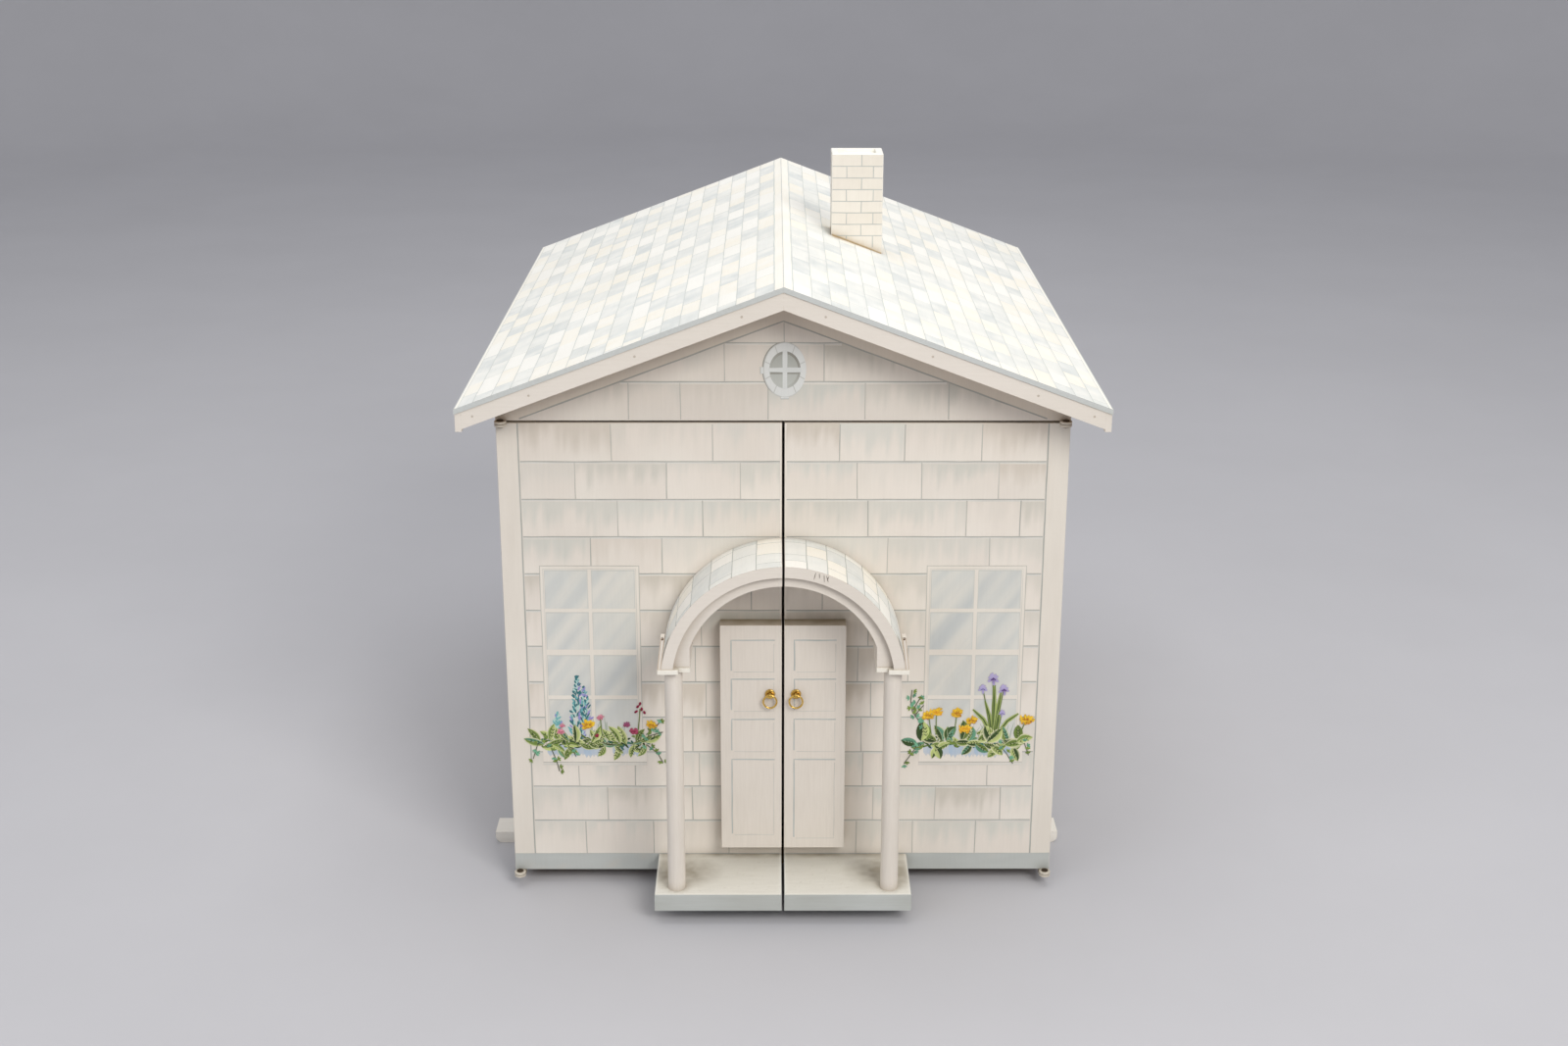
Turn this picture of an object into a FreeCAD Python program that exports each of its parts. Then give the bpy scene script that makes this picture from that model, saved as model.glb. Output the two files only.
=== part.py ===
import FreeCAD, Part
import os

# Wooden dollhouse whose painted front opens as two doors.
#
# Frame: +Z is up and +X is to the right of someone facing the front, so the
# doors look along -Y.  The origin is on the ground, at the centre of the
# house's footprint from the porch step to the back of the roof.
# All sizes are in millimetres.  "Left" and "right" are the facing person's.

# ---------------------------------------------------------------- the house
HOUSE_HALF_WIDTH = 300.0      # outside of a side wall
DOOR_FACE_Y = -350.0          # front face of the closed doors and the gable
HOUSE_DEPTH = 742.2           # door face to the outside of the back panel
SIDE_WALL = 15.0
BASE_THICKNESS = 19.0
BACK_THICKNESS = 12.0
UPPER_FLOOR_Z = 283.0         # underside of the upper floor
UPPER_FLOOR_THICKNESS = 12.0
ATTIC_FLOOR_Z = 528.0
ATTIC_FLOOR_THICKNESS = 18.0
PARTITION_THICKNESS = 12.0
PARTITION_SETBACK = 60.0      # from the door backs to the partition's edge
DOORWAY_WIDTH = 80.0
DOORWAY_HEIGHT = 180.0
DOORWAY_FROM_FRONT = 300.0

RUNNER_HEIGHT = 13.4
RUNNER_DEPTH = 36.0
RUNNER_CORNER = 8.0           # rounding under the runner's ends
RUNNER_SETBACK = 95.0         # door face to the front runner
RUNNER_LEFT_END = 335.0
RUNNER_RIGHT_END = 322.0

# ----------------------------------------------------------------- the roof
RIDGE_Z = 692.3
EAVE_Z = 566.1
EAVE_HALF_WIDTH = 335.0
ROOF_OVERHANG = 51.5          # past the door face, and past the back panel
SHEET_THICKNESS = 5.5         # these two are measured straight down
BOARD_THICKNESS = 18.2
FASCIA_WIDTH = 15.0
EAVE_BOARD_WIDTH = 6.5
SHEET_LIP = 1.0               # the sheet's edge stands this far past its trim
NAIL_RADIUS = 1.1
NAIL_SINK = 0.3
NAIL_LENGTH = 22.0
NAIL_XS = (42.0, 150.0, 258.0, 316.0)

CHIMNEY_X = (57.9, 117.9)
CHIMNEY_FRONT_Y = -12.4
CHIMNEY_DEPTH = 48.4
CHIMNEY_TOP_Z = 765.8
CHIMNEY_WALL = 8.0
CHIMNEY_ROUNDING = 1.2
CHIMNEY_RECESS = 4.0

# ---------------------------------------------------------------- the doors
DOOR_THICKNESS = 18.0
DOOR_REST_GAP = 1.5           # door backs to the front edges of the house
DOOR_BOTTOM_Z = 16.2
DOOR_TOP_Z = 537.6
GABLE_BOTTOM_Z = 540.1
CENTRE_GAP = 2.6              # between the two closed doors
EDGE_SOFTENING = 0.7

STEP_HALF_WIDTH = 138.7
STEP_DEPTH = 93.7
STEP_THICKNESS = 19.6
MOCK_DOOR_HALF_WIDTH = 67.8
MOCK_DOOR_THICKNESS = 19.3
MOCK_DOOR_Z = (53.3, 318.2)

# ------------------------------------------------------------ the porch roof
COLUMN_X = 115.0
COLUMN_RADIUS = 9.5
COLUMN_OUT = 76.0             # column centre, measured out from the door face
CAPITAL_Z = 292.0
CAPITAL_THICKNESS = 5.0
CAPITAL_XS = (97.2, 109.5, 131.0)
CAPITAL_OUT = 92.0
INNER_SETBACK = 6.6
ARCH_CENTRE_Z = 283.0
ARCH_OUT = 90.5
ARCH_OUTER_RADIUS = 127.5
ARCH_MIDDLE_RADIUS = 115.5
ARCH_INNER_RADIUS = 104.0
ARCH_GLUE_LINE = 0.15
ARCH_FOOT_STRAIGHT_X = 97.4   # the inner arch runs straight down from here
SIDE_STRIP_THICKNESS = 4.2
SIDE_STRIP_TOP_Z = 333.5
SIDE_STRIP_DEPTH = 10.0
SIDE_STRIP_LEAN = 4.0         # how far its top leans in over the arch

# -------------------------------------------------------------- the hardware
HINGE_X = 294.0               # hinge line, near the door's outer edge
HINGE_OUT = 7.0               # hinge line, out from the door face
KNUCKLE_RADIUS = 6.2
LEAF_THICKNESS = 1.15
LEAF_GAP = 0.2
KNUCKLE_THICKNESS = 2.85
LEAF_WIDTH = (288.0, 299.0)   # the leaf's neck, from X to X
LEAF_ARM_X = 258.0            # the inner end of the leaf's arm
LEAF_ARM_DEPTH = 10.0
LEAF_BACK = 14.0              # how far the leaf reaches behind the door face
BASE_LEAF_BACK = 52.0
PIN_RADIUS = 2.0
PIN_RUNNING_FIT = 0.05
PIN_HEAD_RADIUS = 3.6
PIN_HEAD_HEIGHT = 1.1
SCREW_RADIUS = 1.4
SCREW_HEAD_RADIUS = 2.5
SCREW_LENGTH = 11.0
SCREW_HOLE_SLACK = 0.05
LEAF_SCREW_XS = (265.0, 279.0)
BASE_LEAF_SCREW_OUTS = (-28.0, -43.0)

ROSETTE_X = 14.0
ROSETTE_Z = 238.9
ROSETTE_RADIUS = 5.45
ROSETTE_THICKNESS = 1.5
EYE_RADIUS = 2.6
EYE_WIDTH = 2.4
EYE_HOLE_RADIUS = 1.25
RING_RADIUS = 7.2             # to the middle of the wire
RING_WIRE_RADIUS = 1.0
RING_OUT = 3.6                # ring plane, out from the rosette's face

MAGNET_X = 30.0
MAGNET_Z = 532.5
MAGNET_RADIUS = 3.5
MAGNET_LENGTH = 10.0
STRIKE_RADIUS = 4.5
STRIKE_THICKNESS = 1.2

# ------------------------------------------------------------ derived sizes
ROOF_SLOPE = (RIDGE_Z - EAVE_Z) / EAVE_HALF_WIDTH
ROOF_FRONT_Y = DOOR_FACE_Y - ROOF_OVERHANG
HOUSE_REAR_Y = DOOR_FACE_Y + HOUSE_DEPTH
ROOF_REAR_Y = HOUSE_REAR_Y + ROOF_OVERHANG
DOOR_BACK_Y = DOOR_FACE_Y + DOOR_THICKNESS
SHELL_FRONT_Y = DOOR_BACK_Y + DOOR_REST_GAP
SHELL_REAR_Y = HOUSE_REAR_Y - BACK_THICKNESS
BASE_TOP_Z = RUNNER_HEIGHT + BASE_THICKNESS
MEETING_X = CENTRE_GAP / 2
CAPITAL_TOP_Z = CAPITAL_Z + CAPITAL_THICKNESS
STEP_TOP_Z = DOOR_BOTTOM_Z + STEP_THICKNESS
MOCK_FACE_Y = DOOR_FACE_Y - MOCK_DOOR_THICKNESS
HINGE_Y = DOOR_FACE_Y - HINGE_OUT
RING_Y = MOCK_FACE_Y - ROSETTE_THICKNESS - RING_OUT
RING_PIVOT_Z = ROSETTE_Z


# ------------------------------------------------------------------- helpers
def vec(x, y, z):
    return FreeCAD.Vector(x, y, z)


def box(xs, ys, zs):
    """A box between two X, two Y and two Z values."""
    size = (xs[1] - xs[0], ys[1] - ys[0], zs[1] - zs[0])
    return Part.makeBox(*size, vec(xs[0], ys[0], zs[0]))


def soft_box(xs, ys, zs, radius=EDGE_SOFTENING):
    """A box whose edges are sanded round."""
    shape = box(xs, ys, zs)
    return shape.makeFillet(radius, shape.Edges)


def prism(corners, ys):
    """A solid with the given (x, z) outline, between two Y values."""
    points = [vec(x, ys[0], z) for x, z in corners]
    face = Part.Face(Part.makePolygon(points + points[:1]))
    return face.extrude(vec(0, ys[1] - ys[0], 0))


def post(x, y, zs, radius):
    """An upright cylinder."""
    return Part.makeCylinder(radius, zs[1] - zs[0], vec(x, y, zs[0]), vec(0, 0, 1))


def peg(x, z, ys, radius):
    """A cylinder that lies along Y."""
    return Part.makeCylinder(radius, ys[1] - ys[0], vec(x, ys[0], z), vec(0, 1, 0))


def mirrored(shape):
    """The same shape on the other side of the house."""
    return shape.mirror(vec(0, 0, 0), vec(1, 0, 0))


def both_sides(name, shape):
    """The right-hand shape and its left-hand twin, as two named nodes."""
    return {name + "_right": shape, name + "_left": mirrored(shape)}


def roof_z(x, drop=0.0):
    """Height of the roof's top surface at x, or of a surface below it."""
    return RIDGE_Z - ROOF_SLOPE * abs(x) - drop


def screw(x, y, face_z, up):
    """A countersunk wood screw driven up or down from a leaf's face."""
    way = 1 if up else -1
    axis = vec(0, 0, way)
    start = vec(x, y, face_z)
    head_depth = SCREW_HEAD_RADIUS - SCREW_RADIUS
    head = Part.makeCone(SCREW_HEAD_RADIUS, SCREW_RADIUS, head_depth, start, axis)
    shank = Part.makeCylinder(SCREW_RADIUS, SCREW_LENGTH, start, axis)
    slot = box((x - 3, x + 3), (y - 0.3, y + 0.3), (face_z - 0.5, face_z + 0.5))
    return head.fuse(shank).removeSplitter().cut(slot)


def screw_hole(x, y, face_z, up):
    """The space that a screw needs, with a little slack all round."""
    way = 1 if up else -1
    axis = vec(0, 0, way)
    head_radius = SCREW_HEAD_RADIUS + SCREW_HOLE_SLACK
    radius = SCREW_RADIUS + SCREW_HOLE_SLACK
    start = vec(x, y, face_z)
    head = Part.makeCone(head_radius, radius, head_radius - radius, start, axis)
    shank = Part.makeCylinder(radius, SCREW_LENGTH + SCREW_HOLE_SLACK, start, axis)
    return head.fuse(shank)


def rounded_disc(x, y, zs, radius, rounding):
    """A short upright cylinder with rounded rims."""
    disc = post(x, y, zs, radius)
    rims = [edge for edge in disc.Edges if isinstance(edge.Curve, Part.Circle)]
    return disc.makeFillet(rounding, rims)


# ------------------------------------------------------------------ the body
def runner(front_y, left_end, right_end):
    """A cross batten under the base, rounded under both ends."""
    back_y = front_y + RUNNER_DEPTH
    shape = box((-left_end, right_end), (front_y, back_y), (0, RUNNER_HEIGHT))
    under_ends = [
        edge for edge in shape.Edges
        if edge.BoundBox.ZMax < 0.1 and edge.BoundBox.XLength < 0.1
    ]
    return shape.makeFillet(RUNNER_CORNER, under_ends)


def base_and_runners():
    front_runner_y = DOOR_FACE_Y + RUNNER_SETBACK
    rear_runner_y = HOUSE_REAR_Y - RUNNER_SETBACK - RUNNER_DEPTH
    half = HOUSE_HALF_WIDTH
    base = box((-half, half), (SHELL_FRONT_Y, SHELL_REAR_Y), (RUNNER_HEIGHT, BASE_TOP_Z))
    for side in (-1, 1):
        for out in BASE_LEAF_SCREW_OUTS:
            hole = screw_hole(side * HINGE_X, DOOR_FACE_Y - out, base_leaf_low_z(), True)
            base = base.cut(hole)
    return {
        "base_panel": base,
        "runner_front": runner(front_runner_y, RUNNER_LEFT_END, RUNNER_RIGHT_END),
        "runner_rear": runner(rear_runner_y, RUNNER_RIGHT_END, RUNNER_RIGHT_END),
    }


def side_walls():
    """Walls that stand on the base and meet the sloping roof boards."""
    outer = HOUSE_HALF_WIDTH
    inner = outer - SIDE_WALL
    drop = SHEET_THICKNESS + BOARD_THICKNESS
    corners = [
        (inner, BASE_TOP_Z), (outer, BASE_TOP_Z),
        (outer, roof_z(outer, drop)), (inner, roof_z(inner, drop)),
    ]
    return both_sides("side_wall", prism(corners, (SHELL_FRONT_Y, SHELL_REAR_Y)))


def gable_outline(bottom_z):
    """The end of the house, from a level bottom edge up to the roof boards."""
    half = HOUSE_HALF_WIDTH
    drop = SHEET_THICKNESS + BOARD_THICKNESS
    return [
        (-half, bottom_z), (half, bottom_z), (half, roof_z(half, drop)),
        (0, roof_z(0, drop)), (-half, roof_z(half, drop)),
    ]


def front_gable():
    gable = prism(gable_outline(GABLE_BOTTOM_Z), (DOOR_FACE_Y, SHELL_FRONT_Y))
    leaf_face = GABLE_BOTTOM_Z - LEAF_THICKNESS
    for side in (-1, 1):
        for x in LEAF_SCREW_XS:
            gable = gable.cut(screw_hole(side * x, leaf_screw_y(), leaf_face, True))
    return {"gable_front": gable}


def back():
    outline = gable_outline(RUNNER_HEIGHT)
    return {"back_panel": prism(outline, (SHELL_REAR_Y, HOUSE_REAR_Y))}


def floors():
    inner = HOUSE_HALF_WIDTH - SIDE_WALL
    xs = (-inner, inner)
    ys = (SHELL_FRONT_Y, SHELL_REAR_Y)
    upper = box(xs, ys, (UPPER_FLOOR_Z, UPPER_FLOOR_Z + UPPER_FLOOR_THICKNESS))
    attic = box(xs, ys, (ATTIC_FLOOR_Z, ATTIC_FLOOR_Z + ATTIC_FLOOR_THICKNESS))
    for side in (-1, 1):
        depth = SHELL_FRONT_Y + MAGNET_LENGTH + SCREW_HOLE_SLACK
        hole = peg(side * MAGNET_X, MAGNET_Z, (SHELL_FRONT_Y, depth), MAGNET_RADIUS + SCREW_HOLE_SLACK)
        attic = attic.cut(hole)
    return {"floor_upper": upper, "floor_attic": attic}


def partition(floor_z, ceiling_z):
    """A wall from front to back with a doorway that reaches the floor."""
    half = PARTITION_THICKNESS / 2
    front_y = SHELL_FRONT_Y + PARTITION_SETBACK
    wall = box((-half, half), (front_y, SHELL_REAR_Y), (floor_z, ceiling_z))
    door_y = SHELL_FRONT_Y + DOORWAY_FROM_FRONT
    doorway = box((-half - 1, half + 1), (door_y, door_y + DOORWAY_WIDTH),
                  (floor_z - 1, floor_z + DOORWAY_HEIGHT))
    return wall.cut(doorway)


def partitions():
    upper_room_z = UPPER_FLOOR_Z + UPPER_FLOOR_THICKNESS
    return {
        "partition_lower": partition(BASE_TOP_Z, UPPER_FLOOR_Z),
        "partition_upper": partition(upper_room_z, ATTIC_FLOOR_Z),
    }


# ------------------------------------------------------------------ the roof
def roof_slab(outer_x, top_drop, bottom_drop, ys):
    """One slope's slab, mitred at the ridge and cut upright at the eave."""
    corners = [
        (0, roof_z(0, top_drop)), (outer_x, roof_z(outer_x, top_drop)),
        (outer_x, roof_z(outer_x, bottom_drop)), (0, roof_z(0, bottom_drop)),
    ]
    return prism(corners, ys)


def nail(x, y, way):
    """A nail driven along Y, with its head just below the fascia's face."""
    z = roof_z(x, SHEET_THICKNESS + BOARD_THICKNESS / 2)
    ends = sorted((y, y + way * NAIL_LENGTH))
    return peg(x, z, ends, NAIL_RADIUS)


def roof():
    board_drop = SHEET_THICKNESS + BOARD_THICKNESS
    trim_front_y = ROOF_FRONT_Y + SHEET_LIP
    trim_rear_y = ROOF_REAR_Y - SHEET_LIP
    eave_outer_x = EAVE_HALF_WIDTH - SHEET_LIP
    eave_inner_x = eave_outer_x - EAVE_BOARD_WIDTH
    board_ys = (trim_front_y + FASCIA_WIDTH, trim_rear_y - FASCIA_WIDTH)
    nodes = {}

    sheet = roof_slab(EAVE_HALF_WIDTH, 0, SHEET_THICKNESS, (ROOF_FRONT_Y, ROOF_REAR_Y))
    nodes.update(both_sides("roof_sheet", sheet))
    board = roof_slab(eave_inner_x, SHEET_THICKNESS, board_drop, board_ys)
    fascia_ys = {
        "fascia_front": (trim_front_y, trim_front_y + FASCIA_WIDTH),
        "fascia_rear": (trim_rear_y - FASCIA_WIDTH, trim_rear_y),
    }
    nails = []
    starts = {
        "fascia_front": (trim_front_y + NAIL_SINK, 1),
        "fascia_rear": (trim_rear_y - NAIL_SINK, -1),
    }
    for name, ys in fascia_ys.items():
        fascia = roof_slab(eave_inner_x, SHEET_THICKNESS, board_drop, ys)
        for x in NAIL_XS:
            shank = nail(x, *starts[name])
            nail_z = roof_z(x, SHEET_THICKNESS + BOARD_THICKNESS / 2)
            fascia = fascia.cut(peg(x, nail_z, ys, NAIL_RADIUS + SCREW_HOLE_SLACK))
            board = board.cut(shank)
            nails += [shank, mirrored(shank)]
        nodes.update(both_sides(name, fascia))
    nodes.update(both_sides("roof_board", board))
    nodes["fascia_nails"] = Part.makeCompound(nails)

    eave_bottom_z = roof_z(EAVE_HALF_WIDTH, board_drop)
    eave_corners = [
        (eave_inner_x, eave_bottom_z), (eave_outer_x, eave_bottom_z),
        (eave_outer_x, roof_z(eave_outer_x, SHEET_THICKNESS)),
        (eave_inner_x, roof_z(eave_inner_x, SHEET_THICKNESS)),
    ]
    eave_board = prism(eave_corners, (trim_front_y, trim_rear_y))
    nodes.update(both_sides("eave_board", eave_board))
    return nodes


def chimney():
    """A block cut to the roof's slope, with a shallow flue in its top."""
    left, right = CHIMNEY_X
    ys = (CHIMNEY_FRONT_Y, CHIMNEY_FRONT_Y + CHIMNEY_DEPTH)
    outline = [
        (left, roof_z(left)), (right, roof_z(right)),
        (right, CHIMNEY_TOP_Z), (left, CHIMNEY_TOP_Z),
    ]
    block = prism(outline, ys)
    worn = [edge for edge in block.Edges if edge.BoundBox.ZMax > CHIMNEY_TOP_Z - 1]
    block = block.makeFillet(CHIMNEY_ROUNDING, worn)
    wall = CHIMNEY_WALL
    flue = box((left + wall, right - wall), (ys[0] + wall, ys[1] - wall),
               (CHIMNEY_TOP_Z - CHIMNEY_RECESS, CHIMNEY_TOP_Z + 1))
    return {"chimney": block.cut(flue)}


# ----------------------------------------------------------------- the hinges
def leaf_screw_y():
    """The row of screws along a leaf's arm."""
    return DOOR_FACE_Y + LEAF_BACK - LEAF_ARM_DEPTH / 2


def base_leaf_low_z():
    """Underside of the leaf that is screwed up under the base panel."""
    return RUNNER_HEIGHT - LEAF_THICKNESS


def knuckle(zs):
    return rounded_disc(HINGE_X, HINGE_Y, zs, KNUCKLE_RADIUS, 0.6)


def arm_leaf(zs, knuckle_zs, hole_radius, screws_up):
    """An L-shaped leaf that lies along the end of a door or the gable."""
    neck = box(LEAF_WIDTH, (HINGE_Y, DOOR_FACE_Y + LEAF_BACK), zs)
    arm_ys = (DOOR_FACE_Y + LEAF_BACK - LEAF_ARM_DEPTH, DOOR_FACE_Y + LEAF_BACK)
    arm = box((LEAF_ARM_X, LEAF_WIDTH[1]), arm_ys, zs)
    leaf = neck.fuse([arm, knuckle(knuckle_zs)]).removeSplitter()
    face_z = zs[0] if screws_up else zs[1]
    for x in LEAF_SCREW_XS:
        leaf = leaf.cut(screw_hole(x, leaf_screw_y(), face_z, screws_up))
    return leaf.cut(post(HINGE_X, HINGE_Y, (0, RIDGE_Z), hole_radius))


def base_leaf(zs, knuckle_zs, hole_radius):
    """A straight leaf that runs back under the base panel."""
    plate = box(LEAF_WIDTH, (HINGE_Y, DOOR_FACE_Y + BASE_LEAF_BACK), zs)
    leaf = plate.fuse(knuckle(knuckle_zs)).removeSplitter()
    for out in BASE_LEAF_SCREW_OUTS:
        leaf = leaf.cut(screw_hole(HINGE_X, DOOR_FACE_Y - out, zs[0], True))
    return leaf.cut(post(HINGE_X, HINGE_Y, (0, RIDGE_Z), hole_radius))


def hinge_pin(shank_zs):
    """A rivet with a domed head at each end."""
    low, high = shank_zs
    shank = post(HINGE_X, HINGE_Y, (low, high), PIN_RADIUS)
    top = rounded_disc(HINGE_X, HINGE_Y, (high, high + PIN_HEAD_HEIGHT), PIN_HEAD_RADIUS, 0.5)
    bottom = rounded_disc(HINGE_X, HINGE_Y, (low - PIN_HEAD_HEIGHT, low), PIN_HEAD_RADIUS, 0.5)
    return shank.fuse([top, bottom]).removeSplitter()


def hinges():
    """Two offset pivot hinges to a door: one over it and one under it."""
    fixed_hole = PIN_RADIUS + 0.02
    moving_hole = PIN_RADIUS + PIN_RUNNING_FIT
    nodes = {}

    top_split = GABLE_BOTTOM_Z - LEAF_THICKNESS
    door_leaf_top = DOOR_TOP_Z + LEAF_THICKNESS
    upper_fixed = arm_leaf((top_split, GABLE_BOTTOM_Z),
                           (top_split, top_split + KNUCKLE_THICKNESS), fixed_hole, True)
    upper_moving = arm_leaf((DOOR_TOP_Z, door_leaf_top),
                            (door_leaf_top - KNUCKLE_THICKNESS, door_leaf_top), moving_hole, False)
    upper_pin = hinge_pin((door_leaf_top - KNUCKLE_THICKNESS - LEAF_GAP / 2,
                           top_split + KNUCKLE_THICKNESS))

    low = DOOR_BOTTOM_Z - LEAF_THICKNESS
    fixed_knuckle_top = low - LEAF_GAP
    lower_moving = arm_leaf((low, DOOR_BOTTOM_Z), (low, low + KNUCKLE_THICKNESS), moving_hole, True)
    lower_fixed = base_leaf((base_leaf_low_z(), RUNNER_HEIGHT),
                            (base_leaf_low_z(), fixed_knuckle_top), fixed_hole)
    lower_pin = hinge_pin((base_leaf_low_z(), low + KNUCKLE_THICKNESS + LEAF_GAP / 2))

    nodes.update(both_sides("hinge_frame_leaf_upper", upper_fixed))
    nodes.update(both_sides("hinge_frame_leaf_lower", lower_fixed))
    nodes.update(both_sides("hinge_door_leaf_upper", upper_moving))
    nodes.update(both_sides("hinge_door_leaf_lower", lower_moving))
    pins = [upper_pin, lower_pin]
    nodes["hinge_pins"] = Part.makeCompound(pins + [mirrored(pin) for pin in pins])

    y = leaf_screw_y()
    fixed_screws = [screw(x, y, top_split, True) for x in LEAF_SCREW_XS]
    fixed_screws += [
        screw(HINGE_X, DOOR_FACE_Y - out, base_leaf_low_z(), True)
        for out in BASE_LEAF_SCREW_OUTS
    ]
    door_screws = [screw(x, y, door_leaf_top, False) for x in LEAF_SCREW_XS]
    door_screws += [screw(x, y, low, True) for x in LEAF_SCREW_XS]
    fixed_screws += [mirrored(one) for one in fixed_screws]
    nodes["hinge_screws_frame"] = Part.makeCompound(fixed_screws)
    nodes.update(both_sides("hinge_screws_door", Part.makeCompound(door_screws)))
    return nodes


# ------------------------------------------------------------------ the doors
def door_panel():
    """The right-hand door, drilled for the screws of its two leaves."""
    xs = (MEETING_X, HOUSE_HALF_WIDTH)
    panel = soft_box(xs, (DOOR_FACE_Y, DOOR_BACK_Y), (DOOR_BOTTOM_Z, DOOR_TOP_Z))
    for x in LEAF_SCREW_XS:
        y = leaf_screw_y()
        panel = panel.cut(screw_hole(x, y, DOOR_TOP_Z + LEAF_THICKNESS, False))
        panel = panel.cut(screw_hole(x, y, DOOR_BOTTOM_Z - LEAF_THICKNESS, True))
    return panel


def arch_ring(outer_radius, inner_radius, out, side_x=None):
    """Half of a barrel arch, from the crown down onto the capital plates.

    side_x, when given, is where the underside turns and runs straight down.
    """
    ys = (DOOR_FACE_Y - out, DOOR_FACE_Y)
    axis = vec(0, 1, 0)
    start = vec(0, ys[0], ARCH_CENTRE_Z)
    length = ys[1] - ys[0]
    ring = Part.makeCylinder(outer_radius, length, start, axis)
    ring = ring.cut(Part.makeCylinder(inner_radius, length, start, axis))
    top_z = ARCH_CENTRE_Z + outer_radius
    quarter = box((MEETING_X, outer_radius), ys, (CAPITAL_TOP_Z, top_z))
    half = ring.common(quarter)
    if side_x is not None:
        foot = box((side_x, outer_radius), ys, (CAPITAL_TOP_Z, ARCH_CENTRE_Z + inner_radius / 2))
        outside = Part.makeCylinder(outer_radius, length, start, axis)
        half = half.fuse(foot.common(outside)).removeSplitter()
    return half


def porch():
    """The right-hand half of the porch, all of which rides on its door."""
    inner_x, split_x, outer_x = CAPITAL_XS
    capital_zs = (CAPITAL_Z, CAPITAL_TOP_Z)
    strip_in_x = outer_x - SIDE_STRIP_THICKNESS
    arch_front_y = DOOR_FACE_Y - ARCH_OUT
    outer_front_y = DOOR_FACE_Y - CAPITAL_OUT
    inner_front_y = outer_front_y + INNER_SETBACK
    column_y = DOOR_FACE_Y - COLUMN_OUT
    step = soft_box((MEETING_X, STEP_HALF_WIDTH), (DOOR_FACE_Y - STEP_DEPTH, DOOR_FACE_Y),
                    (DOOR_BOTTOM_Z, STEP_TOP_Z))
    mock_door = soft_box((MEETING_X, MOCK_DOOR_HALF_WIDTH), (MOCK_FACE_Y, DOOR_FACE_Y), MOCK_DOOR_Z)
    outer_arch = arch_ring(ARCH_OUTER_RADIUS, ARCH_MIDDLE_RADIUS + ARCH_GLUE_LINE, ARCH_OUT)
    inner_arch = arch_ring(ARCH_MIDDLE_RADIUS, ARCH_INNER_RADIUS, ARCH_OUT - INNER_SETBACK,
                           ARCH_FOOT_STRAIGHT_X)
    strip_ys = (arch_front_y, arch_front_y + SIDE_STRIP_DEPTH)
    strip = prism(
        [
            (strip_in_x, CAPITAL_TOP_Z),
            (outer_x, CAPITAL_TOP_Z),
            (outer_x - SIDE_STRIP_LEAN, SIDE_STRIP_TOP_Z),
            (strip_in_x - SIDE_STRIP_LEAN, SIDE_STRIP_TOP_Z),
        ],
        strip_ys,
    )
    return {
        "step": step,
        "mock_door": mock_door,
        "column": post(COLUMN_X, column_y, (STEP_TOP_Z, CAPITAL_Z), COLUMN_RADIUS),
        "capital_outer": soft_box((split_x, outer_x), (outer_front_y, DOOR_FACE_Y), capital_zs, 0.4),
        "capital_inner": soft_box((inner_x, split_x), (inner_front_y, DOOR_FACE_Y), capital_zs, 0.4),
        "arch_outer": outer_arch,
        "arch_inner": inner_arch,
        "arch_side_strip": strip,
    }


def ring_pull():
    """A round rosette with an eye, and the ring that hangs in the eye."""
    face_y = MOCK_FACE_Y
    front_y = face_y - ROSETTE_THICKNESS
    disc = peg(ROSETTE_X, ROSETTE_Z, (front_y, face_y), ROSETTE_RADIUS)
    rim = [
        edge for edge in disc.Edges
        if edge.BoundBox.YMax < front_y + 0.01 and isinstance(edge.Curve, Part.Circle)
    ]
    disc = disc.makeFillet(0.8, rim)
    left_x = ROSETTE_X - EYE_WIDTH / 2
    across = vec(1, 0, 0)
    eye_start = vec(left_x, RING_Y, RING_PIVOT_Z)
    eye = Part.makeCylinder(EYE_RADIUS, EYE_WIDTH, eye_start, across)
    neck = box((left_x, left_x + EYE_WIDTH), (RING_Y, front_y + 0.5),
               (RING_PIVOT_Z - 1.6, RING_PIVOT_Z + 1.6))
    hole = Part.makeCylinder(EYE_HOLE_RADIUS, EYE_WIDTH, eye_start, across)
    rosette = disc.fuse([eye, neck]).removeSplitter().cut(hole)
    centre = vec(ROSETTE_X, RING_Y, RING_PIVOT_Z - RING_RADIUS)
    ring = Part.makeTorus(RING_RADIUS, RING_WIRE_RADIUS, centre, vec(0, 1, 0))
    return {"pull_rosette": rosette, "pull_ring": ring}


def catches():
    """Magnets in the attic floor's edge, and the steel discs they hold."""
    magnet_ys = (SHELL_FRONT_Y, SHELL_FRONT_Y + MAGNET_LENGTH)
    magnet = peg(MAGNET_X, MAGNET_Z, magnet_ys, MAGNET_RADIUS)
    strike_ys = (DOOR_BACK_Y, DOOR_BACK_Y + STRIKE_THICKNESS)
    nodes = both_sides("catch_strike", peg(MAGNET_X, MAGNET_Z, strike_ys, STRIKE_RADIUS))
    nodes["catch_magnets"] = Part.makeCompound([magnet, mirrored(magnet)])
    return nodes


def dollhouse():
    """Every node of the house, by name."""
    nodes = {}
    for section in (base_and_runners, side_walls, front_gable, back, floors,
                    partitions, roof, chimney, hinges, catches):
        nodes.update(section())
    nodes.update(both_sides("door_panel", door_panel()))
    for build in (porch, ring_pull):
        for name, shape in build().items():
            nodes.update(both_sides(name, shape))
    return nodes


os.makedirs("parts", exist_ok=True)
for node_name, node_shape in dollhouse().items():
    node_shape.exportStep(os.path.join("parts", node_name + ".step"))
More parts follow.
